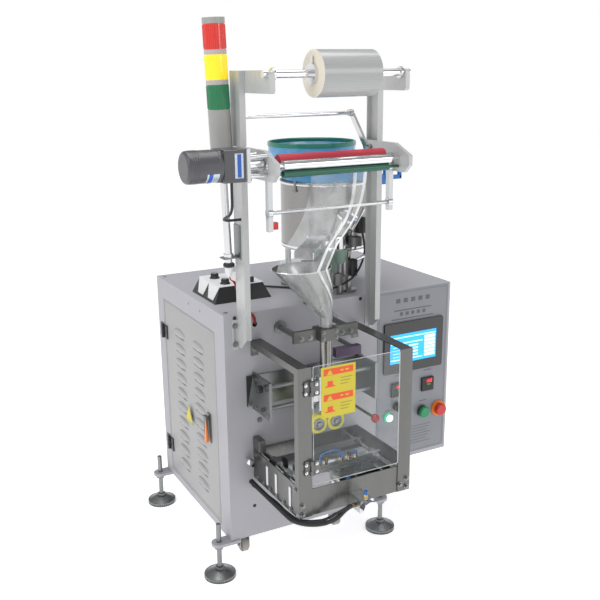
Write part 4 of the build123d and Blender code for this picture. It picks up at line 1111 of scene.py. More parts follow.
@dataclass
class FilmFrame:
    """Columns, reel, rollers, feed motor and swinging arms."""

    bench: Bench

    def build(self) -> None:
        """Dress the film frame's nodes and add labels, bolts, the idle sleeve and rings on the roll's ends.
        """
        dress("columns", Coat.WHITE)
        dress("reel_brackets", Coat.WHITE)
        bar = lambda m, n: Datum.middle - 0.203 < m.x < Datum.middle + 0.203
        dress("roller_plates", Coat.WHITE, (bar, Coat.DARK_GREEN))
        low, high, middle = node_box("film_roll")
        ends = lambda m, n: abs(n.x) > 0.7
        dress("film_roll", Coat.ROLL, (ends, Coat.CORE))
        dress("reel_shaft", Coat.CHROME)
        dress("motor_mount", Coat.BRIGHT)
        dress("gearbox", Coat.MOTOR)
        dress("feed_motor", Coat.MOTOR)
        rubber = lambda m, n: abs(m.x - Datum.middle) < 0.1712
        dress("drive_roller", Coat.CHROME, (rubber, Coat.RED_RUBBER))
        dress("pinch_roller", Coat.CHROME)
        dress("guide_arm", Coat.CHROME)
        sensor = within(at(0.0886, -0.17, 1.148), at(0.106, -0.14, 1.170))
        dress("dancer_arm", Coat.BRIGHT, (sensor, Coat.RED_KEY))
        self._motor_details()
        bar_x, _, bar_z = at(0.107, 0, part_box("roller_plates")[0].z + 0.0164)
        sleeve = Shape("idle_sleeve")
        sleeve.rod(
            Vector((bar_x, Datum.front - 0.1894, bar_z)),
            Vector((bar_x + 0.342, Datum.front - 0.1894, bar_z)), 0.0101, Coat.DARK_GREEN
        )
        sleeve.made("machine")
        self._bolts()
        self._roll_rings(low, high, middle)

    def _motor_details(self) -> None:
        """Add the motor's fan cap, its plain label plates and the gear case's rim."""
        low, high, middle = node_box("gearbox")
        motor_low, motor_high, motor = node_box("feed_motor")
        label = Shape("motor_labels")
        face = low.y - 0.0004
        label.block(
            Vector((high.x - 0.034, face, low.z + 0.012)), Vector((high.x - 0.010, low.y, high.z - 0.010)),
            Coat.LABEL
        )
        label.block(
            Vector((high.x - 0.027, face - 0.0003, low.z + 0.014)),
            Vector((high.x - 0.016, face, high.z - 0.012)),
            Coat.LABEL_BLUE,
        )
        label.block(
            Vector((high.x - 0.003, low.y - 0.0015, low.z + 0.002)),
            Vector((high.x, high.y + 0.0015, high.z - 0.002)), Coat.ZINC, 0.0008
        )
        radius = (motor_high.z - motor_low.z) / 2
        for start, end, finish, lift in (
            (0.012, 0.046, Coat.LABEL, 0.0004), (0.030, 0.041, Coat.LABEL_BLUE, 0.0007)
        ):
            label.curved(
                Vector((motor_high.x - end, motor.y, motor.z)), X, radius, end - start, (-2.75, -1.75),
                lift, finish
            )
        label.made("machine")
        cap = Shape("motor_fan_cap")
        radius = (motor_high.z - motor_low.z) / 2
        for k in range(4):
            x = motor_low.x + 0.014 + k * 0.006
            ring = [(0.0, radius), (0.001, radius + 0.0008), (0.003, radius + 0.0008), (0.004, radius)]
            cap.lathe(Vector((x, motor.y, motor.z)), X, ring, Coat.MOTOR, 48)
        cap.lathe(
            Vector((motor_high.x - 0.010, motor.y, motor.z)), X,
            [(0, radius), (0.002, radius + 0.0015), (0.009, radius + 0.0015), (0.010, radius)], Coat.MOTOR,
            48
        )
        cap.made("machine")
        corners = [
            Vector((low.x + 0.004, middle.y + a, middle.z + b)) for a in (-0.034, 0.034)
            for b in (-0.034, 0.034)
        ]
        self.bench.heads("gearbox_bolts", "machine", corners, Turned.LEFT, 0.004, 0.005, Coat.ZINC, 6)

    def _bolts(self) -> None:
        """Add the bolts on the plates, brackets and column ears."""
        plate_low, plate_high, _ = node_box("roller_plates")
        outer = [
            Vector((plate_low.x - 0.0001, Datum.front - y, plate_high.z - 0.020 - dz))
            for y in (0.012, 0.044) for dz in (0.0, 0.040)
        ]
        inner_faces = [Vector((plate_low.x + 0.012, p.y, p.z)) for p in outer]
        self.bench.heads("left_plate_bolts", "machine", inner_faces, Turned.RIGHT, 0.006, 0.005, Coat.ZINC)
        right = [Vector((plate_high.x - 0.012, p.y, p.z)) for p in outer]
        self.bench.heads("right_plate_bolts", "machine", right, Turned.LEFT, 0.006, 0.005, Coat.ZINC)
        low, high, _ = node_box("reel_brackets")
        spots = [
            Vector((low.x + 0.013, Datum.front - y, high.z - z)) for y in (0.012, 0.048)
            for z in (0.016, 0.044)
        ]
        self.bench.heads("left_bracket_bolts", "machine", spots, Turned.RIGHT, 0.005, 0.004, Coat.ZINC)
        spots = [Vector((high.x - 0.013, p.y, p.z)) for p in spots]
        self.bench.heads("right_bracket_bolts", "machine", spots, Turned.LEFT, 0.005, 0.004, Coat.ZINC)
        column = node_box("columns")
        ears = [
            Vector((x, Datum.front - 0.003, column[0].z + z))
            for x in (column[0].x + 0.009, column[1].x - 0.009) for z in (0.018, 0.076)
        ]
        self.bench.heads("column_bolts", "machine", ears, Turned.FRONT, 0.006, 0.005, Coat.ZINC)
        mount_low, _, mount = node_box("motor_mount")
        dots = [
            Vector((mount_low.x + 0.010, mount.y + a, mount.z + b)) for a in (-0.038, 0.038)
            for b in (-0.038, 0.038)
        ]
        self.bench.heads("mount_bolts", "machine", dots, Turned.RIGHT, 0.0045, 0.004, Coat.ZINC)

    def _roll_rings(self, low: Vector, high: Vector, middle: Vector) -> None:
        """Wind rings into the roll's ends so that its layers show.

        Args:
            low: The roll's low corner.
            high: Its high corner.
            middle: Its centre.
        """
        rings = Shape("roll_layers")
        radius = (high.z - low.z) / 2
        for x, way in ((low.x, -X), (high.x, X)):
            for k in range(9):
                r = 0.024 + k * (radius - 0.027) / 8
                rings.lathe(
                    Vector((x, middle.y, middle.z)), way,
                    [
                        (0.0, r + 0.0008), (0.0005, r + 0.0004), (0.0005, r - 0.0004), (0.0, r - 0.0008),
                        (0.0, r + 0.0008)
                    ],
                    Coat.CORE, 48,
                )
        rings.made("reel")


@dataclass
class Tower:
    """The leaning signal tower with its three lights."""

    lean: float = math.radians(1.9)

    def build(self) -> None:
        """Dress the tower's body, light its lenses and add its wires."""
        low = node_box("tower_body")[0]
        lens_low, lens_high, _ = node_box("tower_lenses")
        dress(
            "tower_body", Coat.TOWER,
            (lambda m, n: m.z < 1.34, Coat.CHROME),
            (lambda m, n: m.z > lens_low.z - 0.004, Coat.TOWER_LIGHT),
            (lambda m, n: m.z > 1.69, Coat.TOWER),
        )
        step = (lens_high.z - lens_low.z) / 3
        dress(
            "tower_lenses", Coat.LENS_GREEN,
            (lambda m, n: m.z > lens_low.z + step * 0.98, Coat.LENS_YELLOW),
            (lambda m, n: m.z > lens_low.z + step * 2.0, Coat.LENS_RED),
        )
        dress("tower_bracket", Coat.ZINC)
        self._ribs()
        foot = Vector((Datum.left + 0.0185, Datum.front - 0.012, low.z))
        wires = Shape("tower_wires")
        for k, finish in enumerate((Coat.CORD_RED, Coat.CORD, Coat.CORD_RED)):
            side = (k - 1) * 0.003
            wires.tube(
                [
                    foot + Vector((side, 0, -0.020)), foot + Vector((0.012, 0.020 + side, -0.045)),
                    at(0.052 + side, 0.022, 0.960), at(0.066, 0.024 + side, 0.905),
                    at(0.078 + side, 0.016, Datum.top + 0.006),
                    at(0.090 + side, -0.006, Datum.top - 0.004), at(0.099 + side, -0.007, 0.850),
                    at(0.102, side, 0.833),
                ],
                0.0016, finish,
            )
        wires.lathe(
            foot + Z * 0.010, -Z, [(0, 0.015), (0.003, 0.017), (0.009, 0.017), (0.012, 0.013)], Coat.BLACK,
            28
        )
        wires.lathe(foot - Z * 0.002, -Z, [(0, 0.013), (0.014, 0.012), (0.028, 0.005)], Coat.LIGHT, 28)
        wires.made("machine")

    def _ribs(self) -> None:
        """Add the lenses' fine upright ribs."""
        ribs = {0: Coat.LENS_GREEN, 1: Coat.LENS_YELLOW, 2: Coat.LENS_RED}
        axis = Vector((-math.sin(self.lean), 0, math.cos(self.lean)))
        side = Vector((math.cos(self.lean), 0, math.sin(self.lean)))
        foot = Vector((Datum.left + 0.018, Datum.front - 0.012, 1.055))
        radius = 0.0306
        for tier, finish in ribs.items():
            shape = Shape(f"lens_ribs_{tier + 1}")
            start = 0.415 + tier * 0.079
            for k in range(36):
                a = 2 * math.pi * k / 36
                out = side * math.cos(a) * radius + Y * math.sin(a) * radius
                shape.rod(
                    foot + axis * (start + 0.003) + out, foot + axis * (start + 0.0635) + out, 0.0009,
                    finish, 6
                )
            shape.made("machine")


@dataclass
class FeederController:
    """The wedge-shaped controller on the cabinet's lid."""

    bench: Bench
    sheet: float = 0.0015

    def build(self) -> None:
        """Dress the wedge black, fold a white sheet over it, and dress its knobs."""
        low, high, _ = node_box("feeder_controller")
        top = Datum.top + 0.050
        dress("feeder_controller", Coat.BLACK)
        inset_x, inset_y = 0.0235, 0.015
        fold = Shape("controller_lid")
        a, b = low.x + inset_x, high.x - inset_x
        c, d = low.y + inset_y, high.y - inset_y
        fold.block(
            Vector((a - 0.002, c - 0.002, top - 0.001)), Vector((b + 0.002, d + 0.002, top + self.sheet)),
            Coat.LIGHT, 0.0006
        )
        out = Vector((-0.0015, 0, 0.0005))
        half = (d - c) / 2
        for k in range(2):
            y0, y1 = c + half * k - 0.001, c + half * (k + 1) + 0.001
            corners = [
                Vector((a, y0, top)) + out, Vector((a, y1, top)) + out,
                Vector((low.x + 0.004, y1 - half * 0.40, Datum.top + 0.008)) + out,
                Vector((low.x + 0.004, y0 + half * 0.12, Datum.top + 0.008)) + out,
            ]
            fold.slab(corners, Vector((0.001, 0, -0.0004)), Coat.LIGHT)
        fold.made("machine", smooth=False)
        for number in (1, 2):
            name = f"controller_knob_{number}"
            dress(name, Coat.BLACK)
            _, knob_high, knob = node_box(name)
            dial = Shape(f"knob_dial_{number}")
            dial.lathe(
                Vector((knob.x, knob.y, top + 0.0018)), Z, [(0, 0.0165), (0.002, 0.0160), (0.006, 0.0120)],
                Coat.BLACK, 36
            )
            dial.lathe(
                Vector((knob.x, knob.y, knob_high.z - 0.0005)), Z, [(0, 0.0095), (0.0012, 0.009)],
                Coat.ZINC, 32
            )
            dial.block(
                Vector((knob.x - 0.0006, knob.y - 0.0095, knob_high.z + 0.0006)),
                Vector((knob.x + 0.0006, knob.y - 0.002, knob_high.z + 0.0012)), Coat.LIGHT,
            )
            for k in range(20):
                a = 2 * math.pi * k / 20
                rib = Vector((knob.x + 0.0119 * math.cos(a), knob.y + 0.0119 * math.sin(a), 0))
                dial.rod(rib + Z * (top + 0.0025), rib + Z * (knob_high.z - 0.003), 0.0011, Coat.BLACK, 6)
            dial.made(name)


@dataclass
class Hopper:
    """The steel drum, its clear blue hopper, the dosing disc and the shaking chute."""

    bench: Bench

    def build(self) -> None:
        """Dress the hopper's nodes and add its rim, handle, clamps and pipes."""
        dress("hopper_drum", Coat.STEEL)
        dress("hopper_shell", Coat.BLUE_TINT)
        dress("hopper_stand", Coat.STEEL)
        dress("metering_disc", Coat.STEEL)
        dress("disc_motor", Coat.GREEN_PAINT)
        tray = node_box("feed_chute")
        dress("feed_chute", Coat.CHROME, (lambda m, n: m.z < tray[1].z - 0.0225, Coat.BLACK))
        high = node_box("hopper_shell")[1]
        centre = Vector((Datum.left + 0.438, Datum.front + 0.245, high.z))
        radius = 0.144
        rim = Shape("hopper_rim")
        rim.lathe(
            centre - Z * 0.013, Z,
            [(0.0, radius + 0.0004), (0.0, radius + 0.002), (0.009, radius + 0.002),
             (0.013, radius + 0.001), (0.0135, radius - 0.002), (0.010, radius - 0.0045),
             (0.0, radius - 0.0035), (0.0, radius + 0.0004)],
            Coat.GREEN_RIM, 72,
        )
        rim.made("machine")
        self._band()
        self._handle()
        self._dosing_front()

    def _band(self) -> None:
        """Add the steel band and toggle clamps where hopper and drum meet."""
        drum_low, drum_high, _ = node_box("hopper_drum")
        centre = Vector((Datum.left + 0.466, Datum.front + 0.200, drum_high.z))
        band = Shape("hopper_band")
        band.lathe(
            centre - Z * 0.012, Z,
            [(0.0, 0.1502), (0.002, 0.1525), (0.010, 0.1525), (0.012, 0.1502), (0.0, 0.1502)], Coat.CHROME,
            72,
        )
        band.lathe(
            Vector((centre.x, centre.y, drum_low.z + 0.004)), Z,
            [(0.0, 0.1502), (0.002, 0.1522), (0.008, 0.1522), (0.010, 0.1502), (0.0, 0.1502)], Coat.CHROME,
            72,
        )
        for angle in (200, 250, 330, 70):
            out = Vector((math.cos(math.radians(angle)), math.sin(math.radians(angle)), 0))
            spot = centre + out * 0.1525 - Z * 0.03
            band.rod(spot, spot + Z * 0.034, 0.004, Coat.ZINC, 12)
            band.rod(
                spot - out.cross(Z) * 0.008 + Z * 0.004, spot + out.cross(Z) * 0.008 + Z * 0.004, 0.003,
                Coat.ZINC, 12
            )
        band.made("machine")

    def _handle(self) -> None:
        """Add the blue lug and loop on the hopper's right."""
        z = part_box("hopper_drum")[1].z - 0.016
        handle = Shape("hopper_handle")
        x, y = Datum.left + 0.540, Datum.front + 0.062
        handle.block(Vector((x, y, z)), Vector((x + 0.074, y + 0.022, z + 0.032)), Coat.BLUE, 0.002)
        handle.block(
            Vector((x + 0.068, y, z + 0.014)), Vector((x + 0.132, y + 0.014, z + 0.028)), Coat.BLUE, 0.002
        )
        handle.block(
            Vector((x + 0.122, y, z + 0.016)), Vector((x + 0.132, y + 0.014, z + 0.060)), Coat.BLUE, 0.002
        )
        handle.block(
            Vector((x + 0.066, y, z + 0.016)), Vector((x + 0.076, y + 0.014, z + 0.048)), Coat.BLUE, 0.002
        )
        handle.made("machine")

    def _dosing_front(self) -> None:
        """Add the sensor ring, its arms and the drives that hang in front of the drum."""
        front = Shape("dosing_front")
        ring = at(0.440, 0.020, 1.130)
        tilt = Vector((0.2, -0.55, 1.0)).normalized()
        front.lathe(
            ring, tilt, [(-0.004, 0.030), (-0.004, 0.036), (0.004, 0.036), (0.004, 0.030), (-0.004, 0.030)],
            Coat.CHROME, 36
        )
        front.rod(ring + Vector((0.02, 0.01, -0.02)), at(0.470, 0.050, 1.062), 0.006, Coat.CHROME)
        front.rod(ring + Vector((-0.02, 0, -0.015)), at(0.395, 0.028, 1.064), 0.005, Coat.CHROME)
        front.rod(at(0.500, 0.025, 1.150), at(0.450, 0.018, 1.085), 0.009, Coat.CHROME)
        front.block(at(0.482, 0.020, 1.070), at(0.512, 0.046, 1.120), Coat.BLACK, 0.003)
        front.block(at(0.455, 0.012, 1.030), at(0.490, 0.040, 1.062), Coat.DARK, 0.003)
        front.lathe(
            at(0.430, 0.050, 0.975), Z, [(0.0, 0.014), (0.008, 0.018), (0.045, 0.026), (0.048, 0.022)],
            Coat.GREEN_PAINT, 36
        )
        front.rod(at(0.430, 0.050, 1.020), at(0.430, 0.050, 1.062), 0.018, Coat.CHROME, 32)
        front.rod(at(0.430, 0.050, Datum.top), at(0.430, 0.050, 0.978), 0.010, Coat.ZINC)
        front.block(at(0.462, 0.030, 0.930), at(0.486, 0.056, 0.985), Coat.BLACK, 0.003)
        front.block(at(0.405, 0.034, 0.905), at(0.432, 0.050, 0.945), Coat.DARK, 0.002)
        front.tube(
            [
                at(0.486, 0.040, 0.980), at(0.520, 0.020, 1.010), at(0.535, 0.030, 1.070),
                at(0.520, 0.050, 1.110)
            ],
            0.005, Coat.CHROME
        )
        front.tube(
            [at(0.505, 0.035, 1.072), at(0.510, 0.030, 1.000), at(0.470, 0.030, 0.930),
             at(0.400, 0.060, 0.890), at(0.340, 0.110, Datum.top + 0.004)],
            0.0035, Coat.CORD,
        )
        front.tube(
            [at(0.223, 0.250, Datum.top + 0.010), at(0.270, 0.230, Datum.top + 0.006),
             at(0.330, 0.180, Datum.top + 0.005), at(0.365, 0.120, Datum.top + 0.005)],
            0.0035, Coat.CORD,
        )
        front.made("machine")


@dataclass
class Former:
    """The funnel, its tube and clamp, and the clear web that comes down to them."""

    bench: Bench

    def build(self) -> None:
        """Dress the funnel and its bracket, and hang the film."""
        dress("forming_funnel", Coat.STEEL)
        low, high, middle = node_box("tube_bracket")
        dress("tube_bracket", Coat.DARK, (lambda m, n: m.y > low.y + 0.035, Coat.ZINC))
        centre = (low.z + high.z) / 2
        face = Datum.front - 0.129
        spots = [
            Vector((middle.x + x, face, centre + z)) for x in (-0.085, -0.055, 0.055, 0.085)
            for z in (-0.006,)
        ]
        self.bench.heads("clamp_bolts", "machine", spots, Turned.FRONT, 0.006, 0.005, Coat.ZINC)
        block = [
            Vector((middle.x + x, Datum.front - 0.151, centre + z)) for x in (-0.022, 0.022)
            for z in (-0.010, 0.010)
        ]
        self.bench.heads("clamp_screws", "machine", block, Turned.FRONT, 0.004, 0.004, Coat.ZINC, 16, 0.8)
        self._mouth()
        self._film()

    def _mouth(self) -> None:
        """Roll the funnel's lip."""
        high = node_box("forming_funnel")[1]
        centre = Vector((Datum.left + 0.198, Datum.front - 0.123, high.z))
        route = [
            centre + Vector((0.090 * math.cos(a), 0.0738 * math.sin(a), -0.0012))
            for a in (2 * math.pi * k / 36 for k in range(37))
        ]
        Shape("funnel_lip").tube(route, 0.0016, Coat.CHROME, 8).made("machine")

    def _film(self) -> None:
        """Hang the clear web from the idle bar, wrap it round the funnel and close it on the tube."""
        bar = at(0.280, -0.1995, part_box("roller_plates")[0].z + 0.008)
        lip = Vector((Datum.left + 0.198, Datum.front - 0.123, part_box("forming_funnel")[1].z + 0.004))
        neck = at(0.278, -0.123, 0.862)
        clamp = Vector((neck.x, neck.y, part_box("tube_bracket")[1].z + 0.002))
        across = 16

        def wrap(centre: Vector, wide: float, deep: float, towards: float, spread: float, u: float) -> Vector:
            """Give a point on an arc round the funnel, u from -1 at its left edge to 1 at its right."""
            angle = math.radians(towards + spread * u)
            return centre + Vector((wide * math.cos(angle), deep * math.sin(angle), 0))

        rows: list[list[Vector]] = []
        for u_row in range(15):
            t = u_row / 14
            rows.append(
                [
                    (bar + X * 0.090 * u).lerp(wrap(lip, 0.0945, 0.0785, -112, 53, u), t)
                    - Y * (
                        0.036 * math.sin(
                            math.pi * min(1.0, t * 1.35)
                        ) + 0.008 * math.sin(math.pi * t) * (1 - u * u)
                    )
                    for u in (2 * k / across - 1 for k in range(across + 1))
                ]
            )
        for step in range(1, 13):
            t = step / 12
            size = (0.0945 + (0.0215 - 0.0945) * t, 0.0785 + (0.0215 - 0.0785) * t)
            rows.append(
                [
                    wrap(lip.lerp(neck, t), *size, -112 + 22 * t, 53 + 92 * t * t, u)
                    for u in (2 * k / across - 1 for k in range(across + 1))
                ]
            )
        for t in (0.5, 1.0):
            rows.append(
                [
                    wrap(neck.lerp(clamp, t), 0.0215, 0.0215, -90, 145, 2 * k / across - 1)
                    for k in range(across + 1)
                ]
            )
        mesh = bpy.data.meshes.new("film_web")
        wide = across + 1
        faces = [
            (i * wide + k, (i + 1) * wide + k, (i + 1) * wide + k + 1, i * wide + k + 1)
            for i in range(len(rows) - 1)
            for k in range(across)
        ]
        mesh.from_pydata([tuple(point) for row in rows for point in row], [], faces)
        mesh.materials.append(Coat.FILM.material())
        mesh.materials.append(Coat.FILM_HIGHLIGHT.material())
        # Two columns of faces get the whiter finish: painted highlight streaks down the web.
        for face in mesh.polygons:
            face.material_index = int(face.index % across in (12, across - 1))
        web = ridden("film_web", mesh, "machine")


@dataclass
class Guard:
    """The guard's frame, its clear door and the plain yellow sign."""

    bench: Bench

    def build(self) -> None:
        """Dress the guard and add its bolts and sign."""
        hinge = lambda m, n: m.y < Datum.front - 0.3035 and m.x < Datum.middle
        dress("guard_frame", Coat.SHEET, (hinge, Coat.DARK))
        low, high, _ = node_box("guard_door")
        edge = lambda m, n: abs(n.y) < 0.5 and m.y > high.y - 0.0055
        leaf = lambda m, n: m.y < high.y - 0.0051
        dress("guard_door", Coat.ACRYLIC, (edge, Coat.ACRYLIC_EDGE), (leaf, Coat.DARK))
        face = high.y - 0.005
        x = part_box("guard_frame")[0].x
        bolts = [
            Vector((x + dx, face - 0.001, z + dz)) for dx in (0.022, 0.030) for z in (0.461, 0.701)
            for dz in (0.010, 0.034)
        ]
        self.bench.heads(
            "guard_hinge_bolts", "machine", bolts[:4], Turned.FRONT, 0.0032, 0.004, Coat.CHROME, 16, 0.75
        )
        door_bolts = [
            Vector((low.x + 0.019, face - 0.004, z + dz)) for z in (0.461, 0.701) for dz in (0.010, 0.034)
        ]
        self.bench.heads(
            "guard_leaf_bolts", "guard_door", door_bolts, Turned.FRONT, 0.0032, 0.0035, Coat.CHROME, 16,
            0.75
        )
        self._sign(face)

    def _sign(self, face: float) -> None:
        """Add the yellow sign with two red bands and plain marks.

        Args:
            face: Where the clear door's front face is, along Y.
        """
        x0, x1 = Datum.left + 0.157, Datum.left + 0.269
        z0, z1 = 0.626, 0.778
        sign = Shape("guard_sign")

        def patch(a: float, b: float, c: float, d: float, finish: Finish, lift: float) -> None:
            """Lay one rectangle, given as parts of the sign's width and height."""
            wide, tall = x1 - x0, z1 - z0
            sign.block(
                Vector((x0 + wide * a, face - 0.0008 - lift, z0 + tall * c)),
                Vector((x0 + wide * b, face, z0 + tall * d)), finish,
            )

        patch(0, 1, 0, 1, Coat.SIGN, 0.0)
        for base in (0.0, 0.5):
            patch(0.07, 0.93, base + 0.33, base + 0.46, Coat.SIGN_RED, 0.0002)
            mid, low_z, tall = x0 + (x1 - x0) * 0.25, z0 + (z1 - z0) * (base + 0.34), (z1 - z0) * 0.10
            sign.slab(
                [
                    Vector((mid - 0.010, face - 0.0013, low_z)), Vector((mid + 0.010, face - 0.0013, low_z)),
                    Vector((mid, face - 0.0013, low_z + tall)),
                ],
                Vector((0, 0.0003, 0)), Coat.SIGN,
            )
            for k in range(3):
                patch(
                    0.56, 0.90 - 0.06 * k, base + 0.24 - 0.06 * k, base + 0.255 - 0.06 * k, Coat.SIGN_BLACK,
                    0.0002
                )
            patch(0.56, 0.64, base + 0.38, base + 0.41, Coat.SIGN, 0.0003)
            patch(0.70, 0.80, base + 0.38, base + 0.41, Coat.SIGN, 0.0003)
            patch(0.12, 0.40, base + 0.10, base + 0.13, Coat.SIGN_RED, 0.0002)
            patch(0.18, 0.34, base + 0.13, base + 0.22, Coat.SIGN_RED, 0.0002)
        sign.made("guard_door", smooth=False)


@dataclass
class SealingStation:
    """Jaws, sealing bars, pull wheels, lever, air cylinder and their hoses."""

    bench: Bench
    ribs_step: float = 0.0045

    def build(self) -> None:
        """Dress the sealing nodes and add fittings, hoses and bolts."""
        dress(
            "sealing_box", Coat.SHEET,
            (
                lambda m, n: (
                    abs(m.z - 0.400) < 0.016 and m.y < Datum.front - 0.006 and m.y > Datum.front - 0.298
                ),
                Coat.CHROME
            )
        )
        low, high, middle = node_box("air_cylinder")
        dress("air_cylinder", Coat.BRIGHT, (lambda m, n: m.y < low.y + 0.0225, Coat.CHROME))
        dress("jaw_front", Coat.BRIGHT)
        dress("jaw_back", Coat.ZINC)
        dress("seal_bar_left", Coat.BRIGHT)
        dress("seal_bar_right", Coat.BRIGHT)
        sensor = lambda m, n: m.z > 0.720 and m.x > Datum.middle and m.y < Datum.front - 0.08
        dress(
            "seal_frame", Coat.ZINC, (sensor, Coat.PURPLE),
            (lambda m, n: m.x < Datum.middle - 0.1975, Coat.BLACK)
        )
        for name in ("pull_wheel_left", "pull_wheel_right"):
            wheel_low = node_box(name)[0]
            ring = lambda m, n, y0=wheel_low.y: y0 + 0.0079 <= m.y <= y0 + 0.0301
            dress(name, Coat.ZINC, (ring, Coat.YELLOW))
            self._wheel_face(name)
        lever_low = node_box("release_lever")[0]
        dress("release_lever", Coat.ZINC, (lambda m, n: m.y < lever_low.y + 0.0285, Coat.RED_BALL))
        dress("cables", Coat.CORD)
        self._fittings(low, high, middle)
        self._bolts()
        self._hose_ribs()

    def _wheel_face(self, name: str) -> None:
        """Add a steel hub plate to a pull wheel.

        Args:
            name: The wheel's node.
        """
        low, _, middle = node_box(name)
        hub = Shape(name + "_hub")
        hub.lathe(
            Vector((middle.x, low.y + 0.008, middle.z)), -Y,
            [(0, 0.020), (0.003, 0.019), (0.004, 0.010), (0.010, 0.009), (0.0105, 0.006)], Coat.ZINC,
        )
        hub.made(name)

    def _fittings(self, low: Vector, high: Vector, middle: Vector) -> None:
        """Add push-in fittings, their short tubes and the cylinder's screws.

        Args:
            low: The air cylinder's low corner.
            high: Its high corner.
            middle: Its centre.
        """
        fit = Shape("air_fittings")
        for y in (low.y + 0.035, high.y - 0.018):
            spot = Vector((middle.x + 0.004, y, high.z - 0.002))
            fit.rod(spot, spot + Z * 0.010, 0.006, Coat.BRASS, 6)
            fit.rod(spot + Z * 0.010, spot + Z * 0.022, 0.0065, Coat.BLUE)
            side = Vector((low.x + 0.002, y + 0.012, middle.z))
            fit.rod(side, side - X * 0.014, 0.006, Coat.BRASS, 6)
            fit.rod(side - X * 0.014, side - X * 0.028, 0.0065, Coat.BLACK)
        fit.tube(
            [Vector((low.x - 0.026, low.y + 0.047, middle.z)),
             Vector((low.x - 0.060, low.y + 0.050, middle.z - 0.012)),
             Vector((low.x - 0.100, low.y + 0.070, middle.z - 0.034)),
             Vector((low.x - 0.150, low.y + 0.110, middle.z - 0.040)),
             Vector((low.x - 0.171, low.y + 0.160, middle.z - 0.030)),
             Vector((low.x - 0.171, low.y + 0.230, middle.z - 0.030)),
             at(0.080, 0.001, 0.300)],
            0.004, Coat.CORD,
        )
        fit.made("machine")
        caps = [
            Vector((middle.x + a, low.y + 0.0019, middle.z + b)) for a in (-0.015, 0.015)
            for b in (-0.015, 0.015)
        ]
        self.bench.heads(
            "cylinder_screws", "machine", caps, Turned.FRONT, 0.0035, 0.002, Coat.CHROME, 16, 0.8
        )
        _, jaw_high, jaw = node_box("jaw_front")
        top = Shape("jaw_fittings")
        for x, finish in (
            (-0.060, Coat.BLUE), (-0.035, Coat.BRASS), (0.020, Coat.BLUE), (0.045, Coat.BLACK),
            (0.070, Coat.BLUE)
        ):
            spot = Vector((jaw.x + x, jaw_high.y - 0.050, jaw_high.z - 0.004))
            top.rod(spot, spot + Z * 0.012, 0.006, Coat.BRASS, 6)
            top.rod(spot + Z * 0.012, spot + Z * 0.024, 0.0065, finish)
        top.tube(
            [Vector((jaw.x - 0.060, jaw_high.y - 0.050, jaw_high.z + 0.018)),
             Vector((jaw.x - 0.045, jaw_high.y - 0.052, jaw_high.z + 0.036)),
             Vector((jaw.x, jaw_high.y - 0.053, jaw_high.z + 0.038)),
             Vector((jaw.x + 0.020, jaw_high.y - 0.050, jaw_high.z + 0.018))],
            0.003, Coat.BLUE,
        )
        top.block(
            Vector((jaw.x - 0.09, jaw_high.y - 0.030, jaw_high.z - 0.001)),
            Vector((jaw.x + 0.09, jaw_high.y - 0.004, jaw_high.z + 0.004)),
            Coat.ZINC, 0.001,
        )
        top.made("jaw_front")

    def _bolts(self) -> None:
        """Add the bolts round the sealing box and the side frames."""
        low, high, _ = node_box("guard_frame")
        side = [Vector((low.x, Datum.front - 0.03 - 0.045 * k, low.z + 0.012)) for k in range(7)]
        side += [Vector((low.x, Datum.front - y, low.z + 0.085)) for y in (0.02, 0.28)]
        self.bench.heads("box_side_bolts", "machine", side, Turned.LEFT, 0.0055, 0.006, Coat.ZINC)
        front = Datum.front - 0.303
        spots = [
            Vector((x, front, z)) for x in (low.x + 0.012, high.x - 0.012)
            for z in (low.z + 0.012, low.z + 0.040)
        ]
        spots += [Vector((x, front, low.z + 0.024)) for x in (high.x - 0.036,)]
        self.bench.heads("box_front_bolts", "machine", spots, Turned.FRONT, 0.0055, 0.008, Coat.ZINC)
        tabs = Shape("box_side_tabs")
        for y in (0.10, 0.16, 0.25):
            tabs.block(
                Vector((low.x - 0.003, Datum.front - y - 0.006, low.z + 0.018)),
                Vector((low.x, Datum.front - y + 0.006, low.z + 0.080)), Coat.LIGHT, 0.001
            )
        tabs.block(
            Vector((low.x - 0.002, Datum.front - 0.050, 0.430)),
            Vector((low.x + 0.020, Datum.front - 0.002, 0.470)), Coat.DARK, 0.002
        )
        tabs.block(at(0.3085, -0.297, 0.330), at(0.462, -0.060, 0.332), Coat.DARK)
        tabs.block(at(0.094, -0.297, 0.330), at(0.136, -0.010, 0.332), Coat.DARK)
        for x, y in ((0.345, -0.20), (0.400, -0.16), (0.345, -0.12)):
            tabs.block(at(x, y, 0.332), at(x + 0.036, y + 0.024, 0.362), Coat.ZINC, 0.002)
        tabs.tube(
            [at(0.325, -0.270, 0.336), at(0.350, -0.262, 0.362), at(0.400, -0.240, 0.366),
             at(0.436, -0.190, 0.350), at(0.440, -0.120, 0.336)],
            0.004, Coat.CORD,
        )
        for x, finish in ((0.318, Coat.BLUE), (0.338, Coat.BRASS), (0.362, Coat.BLUE), (0.392, Coat.BLUE)):
            tabs.rod(at(x, -0.286, 0.332), at(x, -0.286, 0.350), 0.0065, Coat.BRASS, 6)
            tabs.rod(at(x, -0.286, 0.350), at(x, -0.286, 0.372), 0.0070, finish)
        tabs.made("machine")
        arms = [Vector((x, Datum.front - 0.003, 0.760)) for x in (low.x + 0.012, high.x - 0.012)]
        self.bench.heads("arm_bolts", "machine", arms, Turned.FRONT, 0.008, 0.008, Coat.ZINC)
        x = Datum.middle - 0.190
        ends = [Vector((x, Datum.front - y, z)) for y in (0.112, 0.03) for z in (0.575, 0.668)]
        self.bench.heads("seal_frame_bolts", "machine", ends, Turned.LEFT, 0.006, 0.006, Coat.ZINC)
        pads = [at(0.110, -0.006, 0.52), at(0.446, -0.006, 0.52)]
        self.bench.heads(
            "face_bolts", "machine", [p + Vector((0, 0.006, 0)) for p in pads], Turned.FRONT, 0.006, 0.006,
            Coat.ZINC
        )

